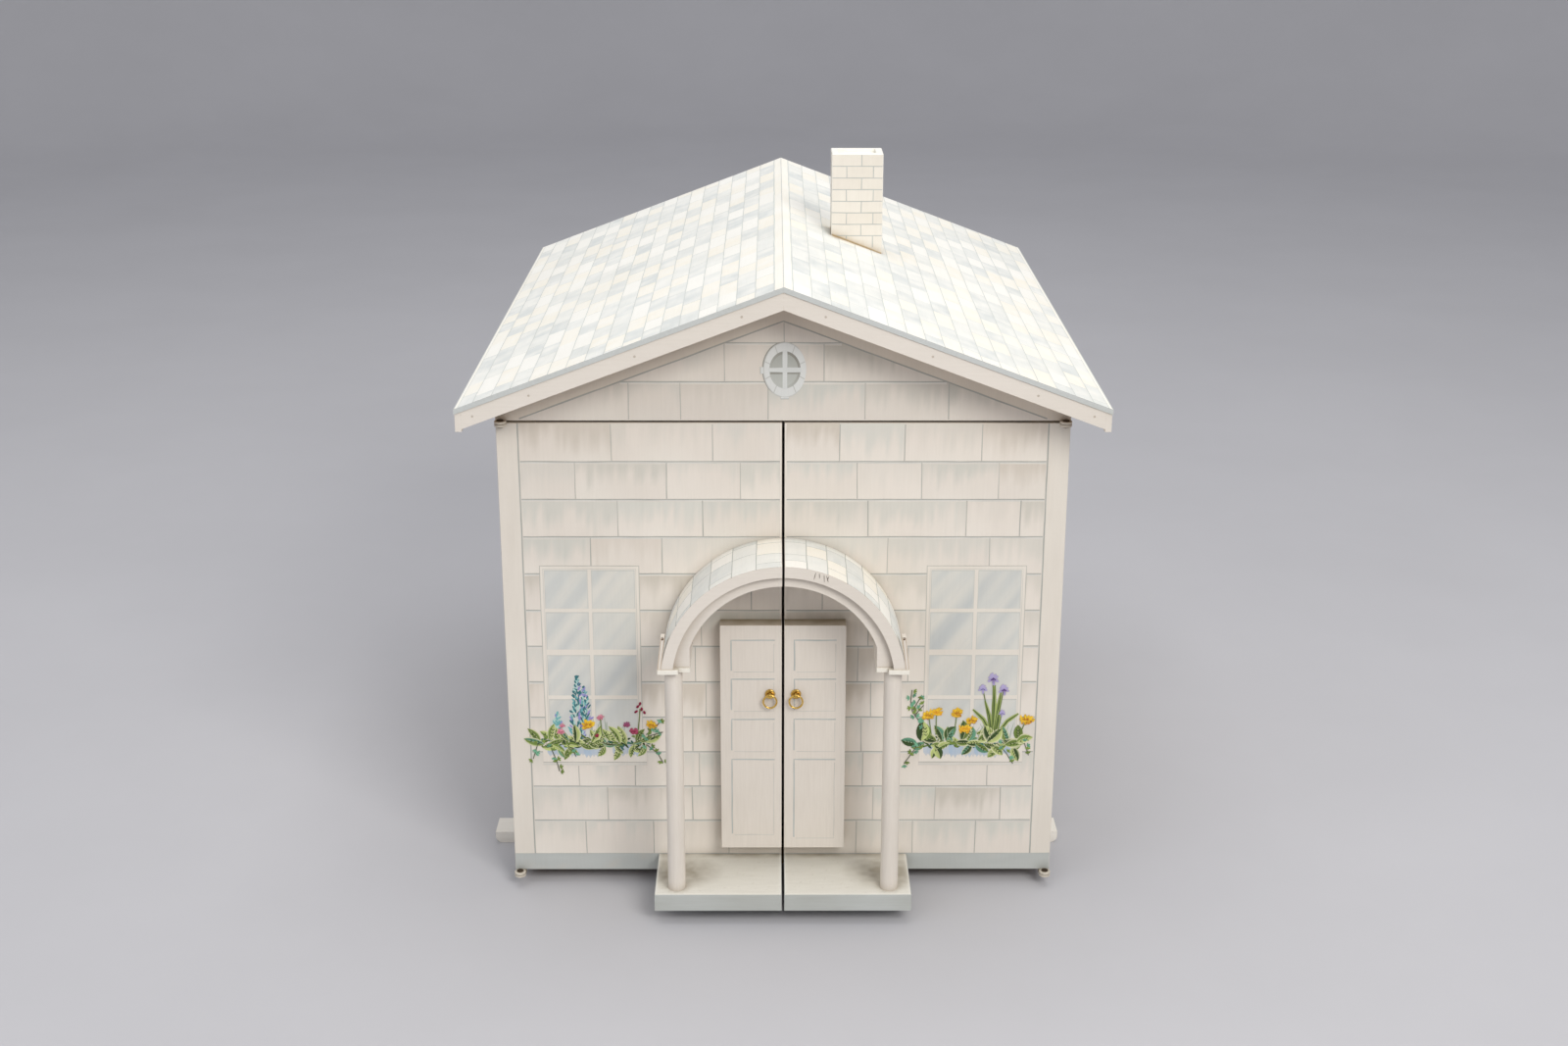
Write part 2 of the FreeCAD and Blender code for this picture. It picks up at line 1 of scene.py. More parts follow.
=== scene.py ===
"""Looks of a hand-painted wooden dollhouse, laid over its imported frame.

Flat paintwork (stone blocks, shingles, windows and flowers) is made of thin
raised strokes that ride on the boards they are painted on.  Lengths are in
millimetres until a surface places them in the frame, which is in metres.
"""

import logging
import math
import random
from dataclasses import dataclass, field
from enum import Enum
from typing import Callable, Sequence

import bmesh
import bpy
from mathutils import Matrix, Vector, noise


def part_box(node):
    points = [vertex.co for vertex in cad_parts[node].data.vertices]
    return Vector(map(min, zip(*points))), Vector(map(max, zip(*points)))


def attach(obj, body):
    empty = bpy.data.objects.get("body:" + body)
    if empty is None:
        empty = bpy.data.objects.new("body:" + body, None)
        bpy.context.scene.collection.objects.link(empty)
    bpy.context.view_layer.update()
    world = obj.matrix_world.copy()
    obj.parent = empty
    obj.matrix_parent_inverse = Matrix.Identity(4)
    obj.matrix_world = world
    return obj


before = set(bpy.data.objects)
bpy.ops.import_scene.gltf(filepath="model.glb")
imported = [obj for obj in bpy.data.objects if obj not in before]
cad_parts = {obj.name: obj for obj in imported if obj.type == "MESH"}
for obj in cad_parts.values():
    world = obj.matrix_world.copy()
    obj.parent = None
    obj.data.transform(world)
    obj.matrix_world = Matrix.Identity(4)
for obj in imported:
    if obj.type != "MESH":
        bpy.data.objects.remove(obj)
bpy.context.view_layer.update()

MM = 0.001
PAINT_THICKNESS = 0.6
SHEET_THICKNESS = 5.5
ROOF_FALL = 0.3782
WALL_COURSES = 12
BAND_TOP = 36.0
LAYER_STROKES = 55
STROKE_LIFT = 0.0022
LOG = logging.getLogger("dollhouse")

Colour = tuple[float, float, float]
Point = tuple[float, float]
Range = tuple[float, float]
Shade = Callable[[float, float], Colour]
Height = Callable[[float], float]


def tone(red: int, green: int, blue: int) -> Colour:
    """Turn a display colour, 0 to 255, into linear light.

    Args:
        red: Display red.
        green: Display green.
        blue: Display blue.

    Returns:
        The linear colour.
    """
    def channel(value: int) -> float:
        """One display channel as linear light."""
        part = value / 255
        return part / 12.92 if part <= 0.04045 else ((part + 0.055) / 1.055) ** 2.4
    return channel(red), channel(green), channel(blue)


def blend(first: Colour, second: Colour, share: float) -> Colour:
    """Mix two colours; share is how much of the second there is."""
    share = min(1.0, max(0.0, share))
    return tuple(a + (b - a) * share for a, b in zip(first, second))


def scaled(colour: Colour, factor: float) -> Colour:
    """A colour made lighter or darker by a factor."""
    return tuple(min(1.0, part * factor) for part in colour)


def away(start: Point, aim: float, reach: float, squeeze: float = 1.0) -> Point:
    """The point that lies a distance away; squeeze flattens the distance upwards."""
    return start[0] + math.cos(aim) * reach, start[1] + math.sin(aim) * reach * squeeze


def cloud(u: float, v: float, size: float, seed: float) -> float:
    """Smooth unevenness from 0 to 1, with patches of about the given size."""
    return 0.5 + 0.5 * noise.noise(Vector((u / size, v / size, seed * 7.31)))


class Hue(tuple, Enum):
    """The colours on the painter's palette; each one is a colour itself."""

    CREAM = tone(226, 218, 206)
    WARM = tone(229, 220, 209)
    COOL = tone(212, 212, 203)
    LIGHT = tone(236, 230, 219)
    TAUPE = tone(206, 196, 181)
    LINE = tone(172, 172, 165)
    LINE_BLUE = tone(205, 208, 205)
    BAND = tone(192, 195, 191)
    SHEET_EDGE = tone(200, 203, 200)
    ROOF_WHITE = tone(248, 246, 239)
    ROOF_CREAM = tone(247, 242, 229)
    ROOF_MIST = tone(231, 232, 227)
    ROOF_GREY = tone(219, 222, 219)
    ROOF_LINE = tone(209, 212, 207)
    RIDGE = tone(248, 243, 230)
    BRICK = tone(231, 224, 212)
    BRICK_PALE = tone(236, 230, 219)
    PANE = tone(218, 216, 208)
    PANE_BLUE = tone(209, 211, 206)
    PANE_LIGHT = tone(227, 223, 213)
    PANE_DARK = tone(198, 201, 199)
    OVAL_RING = tone(219, 220, 217)
    OVAL_GLASS = tone(168, 169, 162)
    OVAL_GLASS_LOW = tone(192, 194, 188)
    OVAL_SHADOW = tone(140, 137, 128)
    BOX_BLUE = tone(172, 192, 212)
    STAIN = tone(208, 188, 154)
    RAW_TOP = tone(150, 136, 112)
    LEAF_DARK = tone(56, 76, 40)
    LEAF_GREEN = tone(108, 128, 62)
    LEAF_LIGHT = tone(182, 194, 122)
    LEAF_PALE = tone(230, 228, 188)
    LEAF_TEAL = tone(98, 146, 118)
    LEAF_BLUE = tone(62, 108, 96)
    STEM = tone(96, 104, 84)
    TEAL = tone(112, 172, 174)
    TEAL_PALE = tone(176, 208, 200)
    TEAL_DEEP = tone(56, 112, 118)
    LILAC = tone(150, 142, 198)
    PINK = tone(222, 152, 166)
    PINK_DEEP = tone(186, 84, 112)
    YELLOW = tone(244, 200, 56)
    ORANGE = tone(226, 140, 36)
    RUST = tone(166, 82, 34)
    CRIMSON = tone(160, 44, 78)
    MAUVE = tone(160, 96, 128)
    WINE = tone(122, 26, 52)
    PURPLE = tone(104, 72, 136)
    PURPLE_DEEP = tone(62, 40, 92)
    PURPLE_PALE = tone(186, 176, 214)
    NAIL_HOLE = tone(98, 80, 62)
    RUBBED_EDGE = tone(204, 182, 156)
    RUBBED_END = tone(128, 108, 86)
    CRACK = tone(84, 70, 58)
    GLUE = tone(150, 120, 78)
    STEP_PALE = tone(234, 231, 222)
    STEP_WORN = tone(208, 204, 192)
    STEP_SHADE = tone(154, 145, 128)
    STEP_RING = tone(168, 158, 138)
    STEP_DIRT = tone(140, 128, 108)
    STEP_SPECK = tone(160, 148, 126)
    STEP_RIM = tone(240, 238, 231)
    STREAK = tone(176, 166, 148)
    PATCH = tone(196, 190, 172)
    GRIME = tone(150, 134, 108)
    WORN_WOOD = tone(164, 142, 112)
    TIMBER_GRIME = tone(110, 92, 70)


class Slot(Enum):
    """The record's material slots that painted pieces belong to."""

    CREAM = "cream_paint"
    SHINGLE = "shingle_paint"
    BRICK = "brick_paint"


# ------------------------------------------------------------------ finishes
class Graph:
    """A short way to write one material's node tree."""

    def __init__(self, name: str) -> None:
        """Start a material with an empty principled surface.

        Args:
            name: The material's name.
        """
        self.material = bpy.data.materials.new(name)
        self.material.use_nodes = True
        self.tree = self.material.node_tree
        self.surface = self.tree.nodes["Principled BSDF"]

    def add(self, kind: str, **inputs: object) -> bpy.types.Node:
        """Add a node and fill its sockets.

        Args:
            kind: The node's type, without the ShaderNode prefix.
            **inputs: Socket values or (node, output name) links, by socket
                name with underscores for spaces; a name in small letters is
                a property of the node.

        Returns:
            The new node.
        """
        node = self.tree.nodes.new("ShaderNode" + kind)
        for key, value in inputs.items():
            if key[0].islower():
                setattr(node, key, value)
            else:
                self.feed(node, key.replace("_", " "), value)
        return node

    def feed(self, node: bpy.types.Node, socket: str, value: object) -> None:
        """Set one socket, or link a (node, output name) pair into it.

        Args:
            node: The node.
            socket: The socket's name, or its number as text.
            value: A value, a colour or a link.
        """
        target = node.inputs[int(socket)] if socket.isdigit() else node.inputs[socket]
        if isinstance(value, tuple) and isinstance(value[0], bpy.types.Node):
            self.tree.links.new(value[0].outputs[value[1]], target)
        elif isinstance(value, tuple) and len(value) == 3 and target.type == "RGBA":
            target.default_value = (*value, 1.0)
        else:
            target.default_value = value

    def mix(self, share: object, first: object, second: object, kind: str = "MIX") -> tuple:
        """Mix two colours and return the result as a link.

        Args:
            share: How much of the second colour there is, a value or a link.
            first: A colour or a link.
            second: A colour or a link.
            kind: The blend type.

        Returns:
            The (node, output name) pair of the mixed colour.
        """
        node = self.tree.nodes.new("ShaderNodeMix")
        node.data_type = "RGBA"
        node.blend_type = kind
        for index, value in ((0, share), (6, first), (7, second)):
            self.feed(node, str(index), value)
        return node, 2

    def curve(self, value: tuple, low: float, high: float,
              to_low: float = 0.0, to_high: float = 1.0) -> tuple:
        """Stretch a value from one range to another, and clamp it.

        Args:
            value: The link to stretch.
            low: Where the first range starts.
            high: Where it ends.
            to_low: Where the second range starts.
            to_high: Where it ends.

        Returns:
            The link of the result.
        """
        node = self.add("MapRange", Value=value, From_Min=low, From_Max=high,
                        To_Min=to_low, To_Max=to_high)
        return node, "Result"

    def speckle(self, scale: tuple[float, float, float], detail: float = 4.0,
                roughness: float = 0.6) -> tuple:
        """Noise in the object's own metres, stretched by a scale per axis.

        Args:
            scale: The noise's scale along each axis.
            detail: How many finer layers it has.
            roughness: How strong they are.

        Returns:
            The link of the noise's strength.
        """
        where = self.add("TexCoord")
        mapped = self.add("Mapping", Vector=(where, "Object"), Scale=scale)
        noise_node = self.add("TexNoise", Vector=(mapped, "Vector"), Scale=1.0,
                              Detail=detail, Roughness=roughness)
        return noise_node, "Fac"

    def edges(self, radius: float, low: float, high: float) -> tuple:
        """A mask of the piece's worn edges.

        Args:
            radius: Width of the wear, in metres.
            low: How alike the true and rounded normals are at full wear.
            high: How alike they are where the wear ends.

        Returns:
            The link of the mask.
        """
        rounded = self.add("Bevel", samples=4, Radius=radius)
        shape = self.add("NewGeometry")
        dot = self.add("VectorMath", operation="DOT_PRODUCT")
        self.feed(dot, "0", (rounded, "Normal"))
        self.feed(dot, "1", (shape, "Normal"))
        return self.curve((dot, "Value"), high, low)

    def grime(self, colour: tuple, distance: float, reach: Range, amount: float,
              tint: Colour, kind: str = "MULTIPLY") -> tuple:
        """Darken a colour in the piece's corners.

        Args:
            colour: The clean colour.
            distance: How far from a corner the dirt spreads, in metres.
            reach: The openness where the dirt starts, and where it is full.
            amount: How strong it is.
            tint: Its colour.
            kind: The blend type.

        Returns:
            The link of the soiled colour.
        """
        corner = self.add("AmbientOcclusion", samples=6, Distance=distance)
        dirt = self.curve((corner, "AO"), *reach, 0.0, amount)
        return self.mix(dirt, colour, tint, kind)

    def coat(self, colour: tuple, rough: tuple, relief: bpy.types.Node) -> bpy.types.Material:
        """Link the surface's colour, roughness and relief.

        Args:
            colour: The link of its colour.
            rough: The link of its roughness.
            relief: The bump node.

        Returns:
            The finished material.
        """
        self.feed(self.surface, "Base Color", colour)
        self.feed(self.surface, "Roughness", rough)
        self.feed(self.surface, "Normal", (relief, "Normal"))
        return self.material


class Grain(Enum):
    """The way that brush strokes or wood fibres run, as noise scales."""

    UPRIGHT = (420.0, 420.0, 26.0)
    ACROSS = (26.0, 420.0, 420.0)
    DEEP = (420.0, 26.0, 420.0)
    LOOSE = (190.0, 190.0, 190.0)


@dataclass(frozen=True)
class BrushedPaint:
    """Brushed household paint, with grime in the corners and worn edges."""

    name: str
    colour: Colour | None = None
    grain: Grain = Grain.UPRIGHT
    unevenness: float = 0.10
    streaks: float = 0.10
    wear: float = 0.55
    grime: float = 0.45
    roughness: float = 0.5
    ridges: float = 0.22
    gloss: float = 0.35

    def make(self) -> bpy.types.Material:
        """Build the material; with no colour it takes each stroke's own.

        Returns:
            The finished material.
        """
        graph = Graph(self.name)
        if self.colour is None:
            base = (graph.add("Attribute", attribute_name="paint"), "Color")
        else:
            base = self.colour
        strokes = graph.speckle(self.grain.value, 5.0, 0.65)
        patches = graph.speckle((7.0, 7.0, 7.0), 3.0, 0.55)
        fine = graph.speckle((900.0, 900.0, 900.0), 2.0, 0.5)
        streak = graph.curve(strokes, 0.35, 0.7, 0.0, self.streaks)
        colour = graph.mix(streak, base, Hue.STREAK, "MULTIPLY")
        patch = graph.curve(patches, 0.38, 0.68, 0.0, self.unevenness)
        colour = graph.mix(patch, colour, Hue.PATCH, "MULTIPLY")
        colour = graph.grime(colour, 0.012, (0.95, 0.35), self.grime, Hue.GRIME)
        if self.wear > 0:
            edge = graph.edges(0.0011, 0.72, 0.985)
            chips = graph.curve(graph.speckle((230.0, 230.0, 230.0), 4.0, 0.7), 0.5, 0.62)
            worn = graph.add("Math", operation="MULTIPLY")
            graph.feed(worn, "0", edge)
            graph.feed(worn, "1", chips)
            amount = graph.curve((worn, 0), 0.0, 1.0, 0.0, self.wear)
            colour = graph.mix(amount, colour, Hue.WORN_WOOD)
        rough = graph.curve(strokes, 0.3, 0.75, self.roughness - 0.07, self.roughness + 0.12)
        relief = graph.add("Bump", Strength=self.ridges, Distance=0.0005, Height=strokes)
        skin = graph.add("Bump", Strength=0.12, Distance=0.0002, Height=fine, Normal=(relief, "Normal"))
        graph.surface.inputs["Specular IOR Level"].default_value = self.gloss
        return graph.coat(colour, rough, skin)


@dataclass(frozen=True)
class SealedTimber:
    """Bare softwood under an old clear seal."""

    name: str
    pale: Colour = tone(196, 164, 122)
    dark: Colour = tone(140, 104, 66)
    grain: Grain = Grain.ACROSS

    def make(self) -> bpy.types.Material:
        """Build the timber.

        Returns:
            The finished material.
        """
        graph = Graph(self.name)
        scale = tuple(part * 0.5 for part in self.grain.value)
        fibres = graph.speckle(scale, 6.0, 0.7)
        broad = graph.speckle(tuple(part * 0.12 for part in self.grain.value), 3.0, 0.6)
        colour = graph.mix(graph.curve(fibres, 0.32, 0.72), self.pale, self.dark)
        colour = graph.mix(graph.curve(broad, 0.4, 0.65, 0.0, 0.45), colour, scaled(self.dark, 1.2))
        colour = graph.grime(colour, 0.02, (0.9, 0.3), 0.6, Hue.TIMBER_GRIME)
        relief = graph.add("Bump", Strength=0.35, Distance=0.0004, Height=fibres)
        return graph.coat(colour, graph.curve(fibres, 0.3, 0.8, 0.5, 0.72), relief)


@dataclass(frozen=True)
class AgedMetal:
    """Polished metal that has dulled in its corners."""

    name: str
    bright: Colour
    dull: Colour
    roughness: float = 0.24

    def make(self) -> bpy.types.Material:
        """Build the metal.

        Returns:
            The finished material.
        """
        graph = Graph(self.name)
        tarnish = graph.speckle((260.0, 260.0, 260.0), 4.0, 0.65)
        scratches = graph.speckle((2600.0, 700.0, 700.0), 3.0, 0.6)
        colour = graph.mix(graph.curve(tarnish, 0.42, 0.7, 0.0, 0.55), self.bright, self.dull)
        colour = graph.grime(colour, 0.003, (0.9, 0.3), 0.8, scaled(self.dull, 0.35), "MIX")
        rough = graph.curve(tarnish, 0.3, 0.75, self.roughness - 0.06, self.roughness + 0.2)
        relief = graph.add("Bump", Strength=0.12, Distance=0.0001, Height=scratches)
        graph.surface.inputs["Metallic"].default_value = 1.0
        return graph.coat(colour, rough, relief)


@dataclass(frozen=True)
class StudioFloor:
    """A plain pale floor with a faint unevenness."""

    name: str = "studio_floor"
    colour: Colour = tone(192, 191, 194)

    def make(self) -> bpy.types.Material:
        """Build the floor's matt surface.

        Returns:
            The finished material.
        """
        graph = Graph(self.name)
        patches = graph.curve(graph.speckle((2.2, 2.2, 2.2), 4.0, 0.6), 0.35, 0.7, 0.0, 0.5)
        colour = graph.mix(patches, self.colour, scaled(self.colour, 0.93))
        graph.feed(graph.surface, "Base Color", colour)
        graph.surface.inputs["Roughness"].default_value = 0.8
        graph.surface.inputs["Specular IOR Level"].default_value = 0.2
        return graph.material


# ------------------------------------------------------- surfaces and strokes
@dataclass(frozen=True)
class FlatSurface:
    """A flat face: u runs across it, v up it, and u, v and out are right-handed."""

    origin: Vector
    across: Vector
    up: Vector

    def place(self, u: float, v: float, lift: float) -> Vector:
        """A point of the painting as a place in the frame.

        Args:
            u: Distance across, in millimetres.
            v: Distance up, in millimetres.
            lift: Height above the face, in millimetres.

        Returns:
            The point in metres.
        """
        out = self.across.cross(self.up)
        return self.origin + (self.across * u + self.up * v + out * lift) * MM


@dataclass(frozen=True)
class VaultSurface:
    """The outside of a barrel arch: u is arc length from the crown, v is depth."""

    centre: Vector
    radius: float

    def place(self, u: float, v: float, lift: float) -> Vector:
        """A point of the painting as a place in the frame, as for a flat face.

        Args:
            u: Distance round the arch from its crown, in millimetres.
            v: Depth, in millimetres.
            lift: Height above the vault, in millimetres.

        Returns:
            The point in metres.
        """
        angle = u / self.radius
        reach = (self.radius + lift) * MM
        return self.centre + Vector((math.sin(angle) * reach, v * MM, math.cos(angle) * reach))


class Canvas:
    """Collects flat strokes on one surface and makes one piece of them."""

    def __init__(self, name: str, surface: FlatSurface | VaultSurface, seed: int) -> None:
        """Start an empty painting.

        Args:
            name: The piece's name.
            surface: The face that is painted on.
            seed: Seed of this painting's unevenness.
        """
        self.name = name
        self.surface = surface
        self.random = random.Random(seed)
        self.seed = seed
        self.level = 0.05
        self.count = 0
        self.points: list[Vector] = []
        self.faces: list[tuple[int, ...]] = []
        self.colours: list[Colour] = []

    def stack(self) -> float:
        """A lift just over the stroke before it, within the layer."""
        self.count += 1
        return self.level + (self.count % LAYER_STROKES) * STROKE_LIFT

    def start_layer(self, level: float) -> None:
        """Start a layer whose strokes all lie over what is below its level."""
        self.level = level
        self.count = 0

    def dot(self, u: float, v: float, lift: float, colour: Colour) -> int:
        """Add one corner.

        Args:
            u: Its distance across.
            v: Its distance up.
            lift: Its height above the surface.
            colour: Its colour.

        Returns:
            Its number.
        """
        self.points.append(self.surface.place(u, v, lift))
        self.colours.append(colour)
        return len(self.points) - 1

    def patch(self, outline: Sequence[Point], colours: Sequence[Colour] | Colour,
              lift: float | None = None) -> None:
        """Add one flat polygon, given anticlockwise.

        Args:
            outline: Its corners, in order.
            colours: One colour for all of it, or one for each corner.
            lift: Height above the surface; the level's next when left out.
        """
        height = self.stack() if lift is None else lift
        shades = list(colours) if isinstance(colours[0], tuple) else [colours] * len(outline)
        corners = [self.dot(u, v, height, shade) for (u, v), shade in zip(outline, shades)]
        self.faces.append(tuple(corners))

    def mesh(self, rows: Sequence[Sequence[Point]], shades: Sequence[Sequence[Colour]],
             lift: float) -> None:
        """Add a sheet of four-sided faces that share their corners.

        Args:
            rows: Rows of points; each row runs to the left of the way that
                the rows go.
            shades: The points' colours, in the same rows.
            lift: Height above the surface.
        """
        numbers = [
            [self.dot(u, v, lift, shade) for (u, v), shade in zip(row, colours)]
            for row, colours in zip(rows, shades)
        ]
        for first, second in zip(numbers, numbers[1:]):
            for index in range(len(first) - 1):
                self.faces.append((first[index], second[index], second[index + 1], first[index + 1]))

    def wash(self, us: Range, vs: Range, shade: Shade,
             cell: Point = (14.0, 14.0), floor: Height | None = None,
             ceiling: Height | None = None, lift: float | None = None) -> None:
        """Lay a coat of uneven paint, as a grid that a slope may cut.

        Args:
            us: The coat's extent across.
            vs: The coat's extent upwards.
            shade: The colour at a point.
            cell: The grid's size, across and up.
            floor: Lowest height at u, where a slope cuts the coat.
            ceiling: Highest height at u, where a slope cuts the coat.
            lift: Height above the surface; the level itself when left out.
        """
        columns = max(1, math.ceil((us[1] - us[0]) / cell[0]))
        rows = max(1, math.ceil((vs[1] - vs[0]) / cell[1]))
        strips: list[list[list[Point]]] = [[]]
        for column in range(columns + 1):
            u = us[0] + (us[1] - us[0]) * column / columns
            low = max(vs[0], floor(u)) if floor else vs[0]
            high = min(vs[1], ceiling(u)) if ceiling else vs[1]
            if high - low < 0.3:
                strips.append([])
                continue
            strips[-1].append([(u, low + (high - low) * row / rows) for row in range(rows + 1)])
        height = self.level if lift is None else lift
        for strip in strips:
            if len(strip) > 1:
                self.mesh(strip, [[shade(*point) for point in line] for line in strip], height)

    def ribbon(self, path: Sequence[Point], width: float, colour: Colour,
               edge: Colour | None = None, wobble: float = 0.0,
               taper: bool = False, step: float = 7.0, lift: float | None = None) -> None:
        """Draw a brush line along a path.

        Args:
            path: The line's points.
            width: Its width.
            colour: Its colour, at the middle.
            edge: Its colour at both edges, where it fades out.
            wobble: How far the hand strays.
            taper: Whether the ends run to a point.
            step: Distance between the line's own points.
            lift: Height above the surface; the level's next when left out.
        """
        height = self.stack() if lift is None else lift
        line = self.spread(path, step)
        phase = self.random.uniform(0, 99)
        last = len(line) - 1
        rows, shades = [], []
        for index, (u, v) in enumerate(line):
            before = line[max(0, index - 1)]
            after = line[min(last, index + 1)]
            du, dv = after[0] - before[0], after[1] - before[1]
            length = math.hypot(du, dv) or 1.0
            side = (-dv / length, du / length)
            sway = wobble * 2 * (cloud(u, v, 25.0, phase) - 0.5)
            half = width / 2 * (0.75 + 0.5 * cloud(u, v, 16.0, phase + 3))
            if taper:
                half *= 0.12 + 0.88 * math.sin(math.pi * (0.06 + 0.88 * index / last)) ** 0.7
            rows.append([
                (u + side[0] * (sway + offset * half), v + side[1] * (sway + offset * half))
                for offset in (-1, 0, 1)
            ])
            core = scaled(colour, 0.88 + 0.24 * cloud(u, v, 18.0, phase + 5))
            rim = edge if edge else core
            shades.append([rim, core, rim])
        self.mesh(rows, shades, height)

    @staticmethod
    def spread(path: Sequence[Point], step: float) -> list[Point]:
        """Points along a path, no further apart than a step.

        Args:
            path: The path's corners.
            step: The greatest distance between points.

        Returns:
            The points.
        """
        line = [path[0]]
        for start, end in zip(path, path[1:]):
            parts = max(1, math.ceil(math.dist(start, end) / step))
            line += [
                (start[0] + (end[0] - start[0]) * part / parts,
                 start[1] + (end[1] - start[1]) * part / parts)
                for part in range(1, parts + 1)
            ]
        return line

    def dab(self, centre: Point, length: float, width: float, angle: float,
            colour: Colour, tip: Colour | None = None) -> None:
        """Press the brush down once: a small rounded blot.

        Args:
            centre: Its middle.
            length: Its length.
            width: Its width.
            angle: The way it points, in radians.
            colour: Its colour.
            tip: Its colour at the far end.
        """
        outline, shades = [], []
        for index in range(9):
            turn = 2 * math.pi * index / 9
            rough = self.random.uniform(0.82, 1.12)
            along = math.cos(turn) * length / 2 * rough
            aside = math.sin(turn) * width / 2 * rough
            outline.append((centre[0] + along * math.cos(angle) - aside * math.sin(angle),
                            centre[1] + along * math.sin(angle) + aside * math.cos(angle)))
            shades.append(blend(colour, tip or colour, 0.5 + 0.5 * math.cos(turn)))
        self.patch(outline, shades)

    def leaf(self, base: Point, tip: Point, width: float, dark: Colour, light: Colour,
             rim: Colour | None = None, bend: float = 0.15) -> None:
        """Paint a leaf with a shaded half, a lit half and a pale rib.

        Args:
            base: Where it joins its stem.
            tip: Its point.
            width: Its greatest width.
            dark: The shaded half's colour.
            light: The lit half's colour.
            rim: The colour that both halves fade to at their edges.
            bend: How far it curves aside, as a share of its length.
        """
        du, dv = tip[0] - base[0], tip[1] - base[1]
        length = math.hypot(du, dv) or 1.0
        side = (-dv / length, du / length)
        rows, shades = [], []
        for index in range(7):
            part = index / 6
            swell = math.sin(math.pi * min(1.0, part * 0.9 + 0.06)) ** 0.85
            half = width / 2 * swell * (1 if 0 < index < 6 else 0.15)
            curve = bend * length * math.sin(math.pi * part)
            u = base[0] + du * part + side[0] * curve
            v = base[1] + dv * part + side[1] * curve
            rows.append([
                (u + side[0] * half * offset, v + side[1] * half * offset)
                for offset in (-1, -0.6, -0.12, 0.12, 0.6, 1)
            ])
            shades.append([rim or scaled(light, 1.2), light, scaled(light, 0.85),
                           dark, scaled(dark, 1.2), rim or scaled(dark, 1.3)])
        height = self.stack()
        self.mesh(rows, shades, height)
        rib = blend(light, Hue.LEAF_PALE, 0.6)
        spine = [((row[2][0] + row[3][0]) / 2, (row[2][1] + row[3][1]) / 2) for row in rows[:-1]]
        self.ribbon(spine, 0.45, rib, taper=True, lift=height + 0.003)

    def lay(self, body: str, finish: bpy.types.Material, slot: Slot = Slot.CREAM) -> bpy.types.Object:
        """Make the painting's piece and fasten it to a body.

        Args:
            body: The body it rides on.
            finish: Its material.
            slot: The record's slot it belongs to.

        Returns:
            The new piece.
        """
        mesh = bpy.data.meshes.new(self.name)
        mesh.from_pydata(self.points, [], self.faces)
        shades = mesh.attributes.new("paint", "FLOAT_COLOR", "POINT")
        flat = [part for colour in self.colours for part in (*colour, 1.0)]
        shades.data.foreach_set("color", flat)
        mesh.materials.append(finish)
        piece = bpy.data.objects.new(self.name, mesh)
        bpy.context.scene.collection.objects.link(piece)
        coat = piece.modifiers.new("paint_body", "SOLIDIFY")
        coat.thickness = PAINT_THICKNESS * MM
        coat.offset = -1.0
        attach(piece, body)
        LOG.info("painted %s: %d faces on %s", self.name, len(self.faces), body)
        return piece


